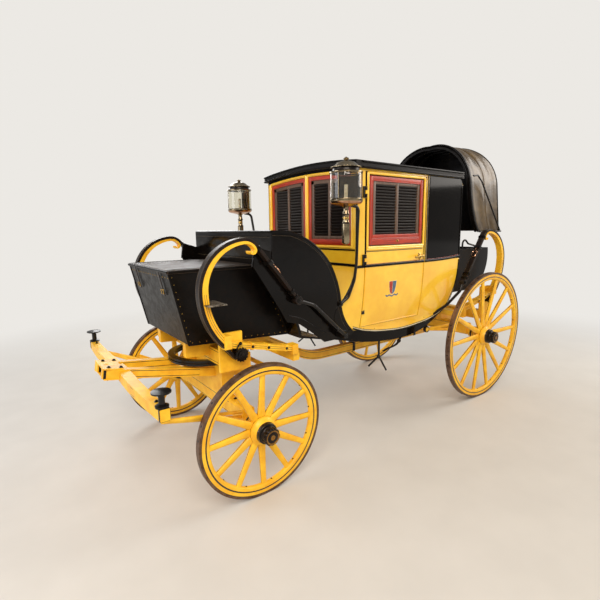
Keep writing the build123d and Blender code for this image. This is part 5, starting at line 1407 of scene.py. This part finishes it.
dashLook = {"half": 601.0, "x": -205.0, "top": 1678.0, "bead": 1.8}
wingEdge = outline((-60, 1462), (-75, 1585), (-198, 1543), count=8)
wingTop = outline((-205, 1680), (-350, 1674), ((-570, 1574), (-708, 1434)), ((-786, 1268), (-824, 1118)),
        ((-890, 984), (-962, 908)), count=16)
parts = []
bindingPath = onSide(wingTop, dashLook["half"], -7.0)
bindingOut = unit(np.cross(np.gradient(bindingPath, axis=0), toLeft))
parts.append(layBead(roundBar(8.5, 12), bindingPath, bindingOut, 0))
for drop in (18.0, 26.0):
    inner = np.stack([bindingPath[:, 0], bindingPath[:, 2]], 1) - bindingOut[:, [0, 2]] * np.sign(bindingOut[:, 2:3]
            + 1e-9) * drop
    row = onSide(inner, dashLook["half"], 0.2)
    if drop < 20:
        parts.append(layBead(bead(4, 2, 5, 0.5), row, toLeft))
    else:
        parts.append(stitchRow(row, toLeft, 8, 7, 1.8, 0.9, 1))
frontFlap = inXz(wingEdge, 594.0)
parts.append(layBead(roundBar(8, 12), frontFlap, (0.2, 0, 1.0), 0))
topRun = runs(((dashLook["x"], 594, dashLook["top"]), (dashLook["x"], 0, dashLook["top"]), 30))
parts.append(layBead(roundBar(9.5, 12), topRun, toTop))
for x, out in ((dashLook["x"] + 7.2, 1.0), (dashLook["x"] - 7.2, -1.0)):
    for z in (1650, 1500):
        run = runs(((x, 580, z), (x, 0, z), 30))
        parts.append(layBead(bead(4, dashLook["bead"], 5, 0.5), run, (out, 0, 0)))
        parts.append(stitchRow(run - (0, 0, 7), (out, 0, 0), 8, 7, 1.8, 0.9, 1))
# standing seam where the dash meets its wing, and the wing's lower seam over the irons
cornerRun = runs(((-204, 600, 1476), (-204, 600, 1672), 12))
parts.append(layBead(roundBar(6, 10), cornerRun, (0.7, 0.7, 0), 0))
seam = smoothPath([(-330, 1096), (-440, 1058), (-560, 990), (-690, 908)], 8)
parts.append(layBead(bead(8, 4, 7), onSide(seam + (-6, 12), dashLook["half"]), (0, 1.0, 0.05), 0))
putMesh("dash_binding_and_seams", bothSides(parts), [patentHide, waxThread], "coach")

# boot: welts along its edges, brass nails, the lid's binding and stitching, and two straps with buckles
bootLook = {"half": 410.0, "profile": [(417.0, 1434.0), (315.0, 975.0), (-452.0, 930.0), (-236.0, 1434.0)],
        "lidTop": 1458.0, "lip": 1447, "nailPitch": 46, "nailIn": 15}
corner = bootLook["profile"]
welts, nails = [], []
for a, b in zip(corner, corner[1:]):
    line = inXz(np.linspace(a, b, 14), bootLook["half"] - 1)
    ends = np.array([b[0] - a[0], 0, b[1] - a[1]])
    out = unit(np.cross(ends, toLeft))
    welts.append(layBead(roundBar(5.5, 10), line, toLeft))
    count = int(np.linalg.norm(ends) / bootLook["nailPitch"])
    inward = -out if np.dot(out, (np.array([30, 0, 1200]) - np.array([(a[0] + b[0]) / 2, 0,
            (a[1] + b[1]) / 2]))) < 0 else out
    for k in range(count):
        p = np.array([a[0], 0, a[1]]) + ends * (k + 0.5) / count + inward * bootLook["nailIn"]
        nails.append(dome((p[0], bootLook["half"], p[2]), toLeft, 4.2, 2.2, 0, 8, 3))
lip, lidTop = bootLook["lip"], bootLook["lidTop"]
lidParts = [layBead(bead(16, 5, 7), runs(((427, 416, lip), (427, 0, lip), 24)), toFront),
        layBead(bead(16, 5, 7), runs(((-176, 420, lip), (420, 420, lip), 12)), toLeft)]
for seam in (runs(((-150, 398, lidTop + 0.2), (400, 398, lidTop + 0.2), 20)),
        runs(((404, 392, lidTop + 0.2), (404, 0, lidTop + 0.2), 20))):
    lidParts.append(stitchRow(seam, toTop, 8, 7, 1.8, 0.9, 1))
lidParts.append(layBead(bead(9, 3, 7), runs(((-170, 380, lidTop), (414, 380, lidTop), 20)), toTop))
putMesh("boot_lid_binding", bothSides(lidParts), [bootHide, waxThread], "boot_lid")
putMesh("boot_welts", bothSides(welts), [bootHide], "coach")
# the front slopes in by a share of its drop
frontSlope, frontNails = 0.222, []
for y in np.linspace(-380, 380, 17):
    p = np.array([corner[0][0] - frontSlope * 24, y, corner[0][1] - 24])
    frontNails.append(dome(p, (1, 0, -frontSlope), 4.2, 2.2, 0, 8, 3))
putMesh("boot_brass_nails", bothSides(nails) + frontNails, [brassMetal], "coach")
straps = []
for y in (250.0, -250.0):
    line = smoothPath([(429, y, 1452), (424, y, 1420), (408, y, 1345), (394, y, 1285)], 8)
    straps.append(carry(softBar(30, 5, 1.5), line, toLeft))
    at = line[20]
    along = unit(line[22] - line[18])
    out = unit(np.cross(along, toLeft))
    out = out if out[0] > 0 else -out
    straps.append(buckle(at + out * 5, out, along, (20, 15), 4, roundBar(2.6, 8), 1))
putMesh("boot_straps", straps, [strapHide, brassMetal], "coach")

# fastenings of the body irons, lamp irons and springs
bolts = []
for x, z in ((-823, 898), (-740, 960)):
    bolts.append(dome((x, 643, z), toLeft, 11, 7, 0, 12, 4))
bolts += nut((-811, 607, 1134), toLeft, 9, 7)
bolts += nut((-525, 641, 1165), toLeft, 8, 5)
for x, z in ((-380.0, 1216.0), (-2366.0, 1166.0)):
    bolts += nut((x, 657, z), toLeft, 13, 9)
    bolts += nut((x, 603, z), (0, -1, 0), 13, 9)
putMesh("iron_bolts_and_nuts", bothSides(bolts), [blackIron], "coach")
print("dash and boot ready")

# Cushions: stuffed by cloth pressure inside their covers, pinned where they are buttoned

padLook = {"pressure": 4.0, "frames": 20, "quality": 5, "stiff": 12, "capMm": 24, "voxelMm": 11, "spareMm": 4,
        "holdMm": 13}


def stuffedPad(name, low, high, buttons, rest, covers):
    # the cover starts as a rounded box: each direction's cosine keeps its sign and is raised to a small power
    low, high = np.asarray(low, float), np.asarray(high, float)
    middle, half = (low + high) / 2, (high - low) / 2 - (9, 9, 6)
    u, v = np.meshgrid(np.linspace(-math.pi, math.pi, 96, endpoint=False), np.linspace(-math.pi / 2, math.pi / 2,
            49)[1:-1], indexing="ij")
    soft = lambda value, power: np.sign(value) * np.abs(value) ** power
    grid = middle + half * np.stack([soft(np.cos(v), 0.22) * soft(np.cos(u), 0.20),
            soft(np.cos(v), 0.22) * soft(np.sin(u), 0.20), soft(np.sin(v), 0.34)], -1)
    points = np.concatenate([grid.transpose(1, 0, 2).reshape(-1, 3), [middle - (0, 0, half[2])],
            [middle + (0, 0, half[2])]])
    rows, cols = grid.shape[1], grid.shape[0]
    faces = gridFaces(rows, cols, False, True).tolist()
    faces += [[rows * cols, (n + 1) % cols, n] for n in range(cols)]
    faces += [[rows * cols + 1, (rows - 1) * cols + n, (rows - 1) * cols + (n + 1) % cols] for n in range(cols)]
    piece = putMesh(name, [(points, faces, 0)], [seatHide], "coach", covers=covers, angle=180)
    remesh = piece.modifiers.new("even", "REMESH")
    remesh.mode, remesh.voxel_size = "VOXEL", padLook["voxelMm"] / 1000
    scene = bpy.context.scene
    bake = lambda: bpy.data.meshes.new_from_object(piece.evaluated_get(bpy.context.evaluated_depsgraph_get()))
    even = bake()
    piece.modifiers.clear()
    piece.data = even
    count = len(even.vertices)
    start = np.empty(count * 3)
    even.vertices.foreach_get("co", start)
    start = start.reshape(-1, 3)
    buttonsAt = toFrame(buttons)
    near = np.min(np.linalg.norm(start[:, None] - buttonsAt[None], axis=-1), axis=1)
    held = np.nonzero(near < padLook["holdMm"] / 1000)[0]
    side, level = rest
    edge = toFrame([high if level > 0 else low])[0][side]
    flat = np.nonzero(np.abs(start[:, side] - edge) < 0.010)[0]
    pin = piece.vertex_groups.new(name="pin")
    pin.add([int(n) for n in np.union1d(held, flat)], 1.0, "REPLACE")
    cloth = piece.modifiers.new("stuffing", "CLOTH")
    cloth.settings.quality = padLook["quality"]
    cloth.settings.use_pressure = True
    cloth.settings.uniform_pressure_force = padLook["pressure"]
    cloth.settings.effector_weights.gravity = 0
    cloth.settings.vertex_group_mass = "pin"
    cloth.settings.tension_stiffness = cloth.settings.compression_stiffness = padLook["stiff"]
    cloth.point_cache.frame_start, cloth.point_cache.frame_end = 1, padLook["frames"]
    for frameNumber in range(1, padLook["frames"] + 1):
        scene.frame_set(frameNumber)
    swollen = bake()
    moved = np.empty(count * 3)
    swollen.vertices.foreach_get("co", moved)
    moved = moved.reshape(-1, 3)
    piece.modifiers.clear()
    scene.frame_set(1)
    step = moved - start
    far = np.linalg.norm(step, axis=1, keepdims=True)
    moved = start + step * np.minimum(1, padLook["capMm"] / 1000 / np.maximum(far, 1e-9))
    # the pad stays in the room it was cut for
    room = toFrame([low, high])
    spare = padLook["spareMm"] / 1000
    moved = np.clip(moved, room[0] - spare, room[1] + spare)
    piece.data.vertices.foreach_set("co", moved.ravel())
    piece.data.shade_smooth()
    piece.data.update()
    smooth = piece.modifiers.new("smooth", "SUBSURF")
    smooth.levels = smooth.render_levels = 1
    final = np.empty(count * 3)
    piece.data.vertices.foreach_get("co", final)
    return final.reshape(-1, 3) * 1000 - (frontAxleX, 0, 0)


def padTrim(name, surface, buttons, out, loops):
    # covered buttons in their hollows and a piped seam laid on the swollen surface
    parts = []
    for at in buttons:
        k = int(np.argmin(np.linalg.norm(surface - at, axis=1)))
        parts.append(dome(surface[k] - np.asarray(out) * 1.0, out, 9, 4, 0, 12, 4))
    for loop in loops:
        snapped = surface[np.argmin(np.linalg.norm(surface[None] - loop[:, None], axis=-1), axis=1)]
        for _ in range(3):
            snapped = (np.roll(snapped, 1, 0) + 2 * snapped + np.roll(snapped, -1, 0)) / 4
        parts.append(layBead(roundBar(4.5, 8), snapped, snapped - snapped.mean(0), 0, True))
    putMesh(name, parts, [seatHide], "coach")


def ringAt(low, high, z):
    # rounded rectangle at one height, with six steps to each of its sides
    flat = roundedFrame(low, high, 40, 8)
    flat = np.concatenate([np.linspace(a, b, 7)[:-1] for a, b in zip(flat, np.roll(flat, -1, 0))])
    return xyz(flat[:, 0], flat[:, 1], z)


seatButtons = [(x, y, 1266.0) for x in (-2215.0, -2065.0, -1915.0) for y in np.linspace(-420, 420, 6)]
seatSkin = stuffedPad("seat_cushion", (-2305, -505, 1161), (-1830, 505, 1268), seatButtons, (2, -1),
        ["seat_cushions"])
padTrim("seat_cushion_piping", seatSkin, seatButtons, toTop, [ringAt((-2296, -496), (-1839, 496), z)
        for z in (1250, 1178)])
backButtons = [(-2199.0, y, z) for z in (1370.0, 1520.0, 1670.0) for y in np.linspace(-420, 420, 6)]
backSkinPad = stuffedPad("seat_squab", (-2304, -505, 1272), (-2196, 505, 1798), backButtons, (0, -1), [])
padTrim("seat_squab_buttons", backSkinPad, backButtons, (1, 0, 0), [])
rumbleButtons = [(x, y, 1447.0) for x in (-2930.0, -2740.0) for y in np.linspace(-340, 340, 5)]
rumbleSkin = stuffedPad("rumble_cushion_pad", (-3018, -430, 1363), (-2652, 430, 1449), rumbleButtons, (2, -1),
        ["rumble_cushion"])
padTrim("rumble_cushion_piping", rumbleSkin, rumbleButtons, toTop, [ringAt((-3008, -421), (-2661, 421), z)
        for z in (1434, 1378)])
print("cushions ready")

# Undercarriage: iron bands and bolts, black lining, check straps

perchLook = {"start": (-35.0, 846.0), "end": -2630, "bands": (-430.0, -1500.0, -2420.0)}
perchLine, _ = arcChain(perchLook["start"], (-1, 0), [(0, 205), (600, 27), (0, 368.3), (600, -27)], 20)
perchLine = np.concatenate([perchLine, runs((perchLine[-1], (perchLook["end"], perchLine[-1, 1]), 40))[1:]])
perch3 = inXz(perchLine, 0.0)
perchAlong = unit(np.gradient(perch3, axis=0))
bands, lining, thinLine = [], [], bead(4, 0.8, 5, 0.4)
for x in perchLook["bands"]:
    k = int(np.argmin(np.abs(perchLine[:, 0] - x)))
    bands.append(hoop(perch3[k], perchAlong[k], toLeft, (-32.5, -40.5), (32.5, 40.5), 34, 4.5, 0))
    for y, out in ((36.0, 1.0), (-36.0, -1.0)):
        bands += nut((perch3[k][0], y, perch3[k][2]), (0, out, 0), 8, 6)
for y, out in ((31.0, 1.0), (-31.0, -1.0)):
    for lift in (26.0, -26.0):
        rise = np.cross(perchAlong, toLeft)
        lining.append(layBead(thinLine, perch3 + rise * lift + (0, y, 0), (0, out, 0), 1))

# beds: bands near their ends, and lines on their long faces
for x, r, _ in (wheelLook["front"], wheelLook["rear"]):
    for y in (-520.0, -400.0, 400.0, 520.0):
        bands += nut((x, y, r + 94), toTop, 8, 7)
    for dx, out in ((43.0, 1.0), (-43.0, -1.0)):
        for z in (r - 2.0, r + 74.0):
            run = runs(((x + dx, -380, z), (x + dx, 380, z), 20))
            lining.append(layBead(thinLine, run, (out, 0, 0), 1))
transomTop = 800.0 + 104.0
for dx, out in ((115.0, 1.0), (-35.0, -1.0)):
    for z in (814.0, transomTop - 14):
        run = runs(((dx, -560, z), (dx, 560, z), 20))
        lining.append(layBead(thinLine, run, (out, 0, 0), 1))
for y in (-420.0, -330.0, 330.0, 420.0):
    bands += nut((40, y, transomTop + 2), toTop, 9, 8)
bands += nut((0, 0, transomTop), toTop, 26, 14)

# pieces that turn with the fore-carriage
foreBands, foreLines = [], []
a, b = np.array([-330.0, 215.0, 622.0]), np.array([775.0, 80.0, 803.0])
along = unit(b - a)
across = unit(np.cross(toTop, along))
rise = np.cross(along, across)
for y, out in ((26.0, 1.0), (-26.0, -1.0)):
    for lift in (20.0, -20.0):
        line = a + (b - a) * np.linspace(0.44, 0.86, 12)[:, None] + across * y + rise * lift
        foreLines.append(layBead(thinLine, line, across * out, 1))
foreBands.append(hoop(a + (b - a) * 0.985, along, across, (-27.5, -31.5), (27.5, 31.5), 16, 3, 0))
for share in (0.90, 0.965):
    p = a + (b - a) * share + rise * 38.5
    foreBands += nut(p, rise, 10, 8)
    foreBands += nut(p - rise * 77, -rise, 10, 8)
# an iron cap and a bolt at each end of the splinter bar, and lines on its front
foreBands.append(hoop((640, 858, 768), toLeft, toFront, (-28.5, -34), (28.5, 34), 14, 3, 0, 6))
foreBands += nut((640, 740, 801), toTop, 9, 7)
y = np.linspace(150, 780, 20)
face = xyz(np.interp(y, [0, 434, 868], [673.5, 686, 666.5]), y, 768)
for z in (790.0, 746.0):
    foreLines.append(layBead(thinLine, face + (0.2, 0, z - 768), toFront, 1))
putMesh("undercarriage_bands_and_bolts", bands, [blackIron], "coach")
putMesh("undercarriage_lining", lining, [yellowWheelPaint, blackLining], "coach")
putMesh("fore_carriage_bands_and_bolts", bothSides(foreBands), [blackIron], "fore_carriage")
putMesh("fore_carriage_lining", bothSides(foreLines), [yellowWheelPaint, blackLining], "fore_carriage")

# check straps from the stays' tips to the body's sill, and the looped strap under the way in
check = smoothPath([(-2064, 455, 735), (-2040, 458, 764), (-1990, 474, 772), (-1930, 494, 770), (-1880, 505, 786)],
        8)
loopStrap = smoothPath([(-1600, 500, 772), (-1622, 502, 730), (-1600, 504, 690), (-1568, 503, 664),
        (-1510, 501, 650), (-1452, 500, 644), (-1400, 500, 632)], 8)
straps = [carry(softBar(32, 6, 1.8), check, (0, 1.0, 0.0), 0), carry(softBar(24, 6, 1.8), loopStrap, (0, 1.0, 0.0),
        0)]
tip = np.array([-2060.0, 455, 715])
ring = circle(tip, 27, 24)
straps.append(layBead(softBar(30, 6, 1.8), ring, ring - tip, 0, True))
knot = np.array([-1600.0, 504, 690])
for turnBy in (0.2, 1.3, 2.2):
    u = np.array([math.cos(turnBy), 0.35, math.sin(turnBy)])
    w = unit(np.cross(u, (0, 1, 0.2)))
    ring = circle(knot, 15, 24, unit(u), w)
    straps.append(layBead(softBar(14, 6, 1.8), ring, ring - knot, 0, True))
k = 18
along = unit(check[k + 1] - check[k - 1])
out = np.cross(along, toLeft)
out = out if out[2] < 0 else -out
straps.append(buckle(check[k] + out * 6, out, along, (20, 16), 4, roundBar(3, 8), 1))
putMesh("check_straps", bothSides(straps), [strapHide, brassMetal], "coach")
print("undercarriage ready")
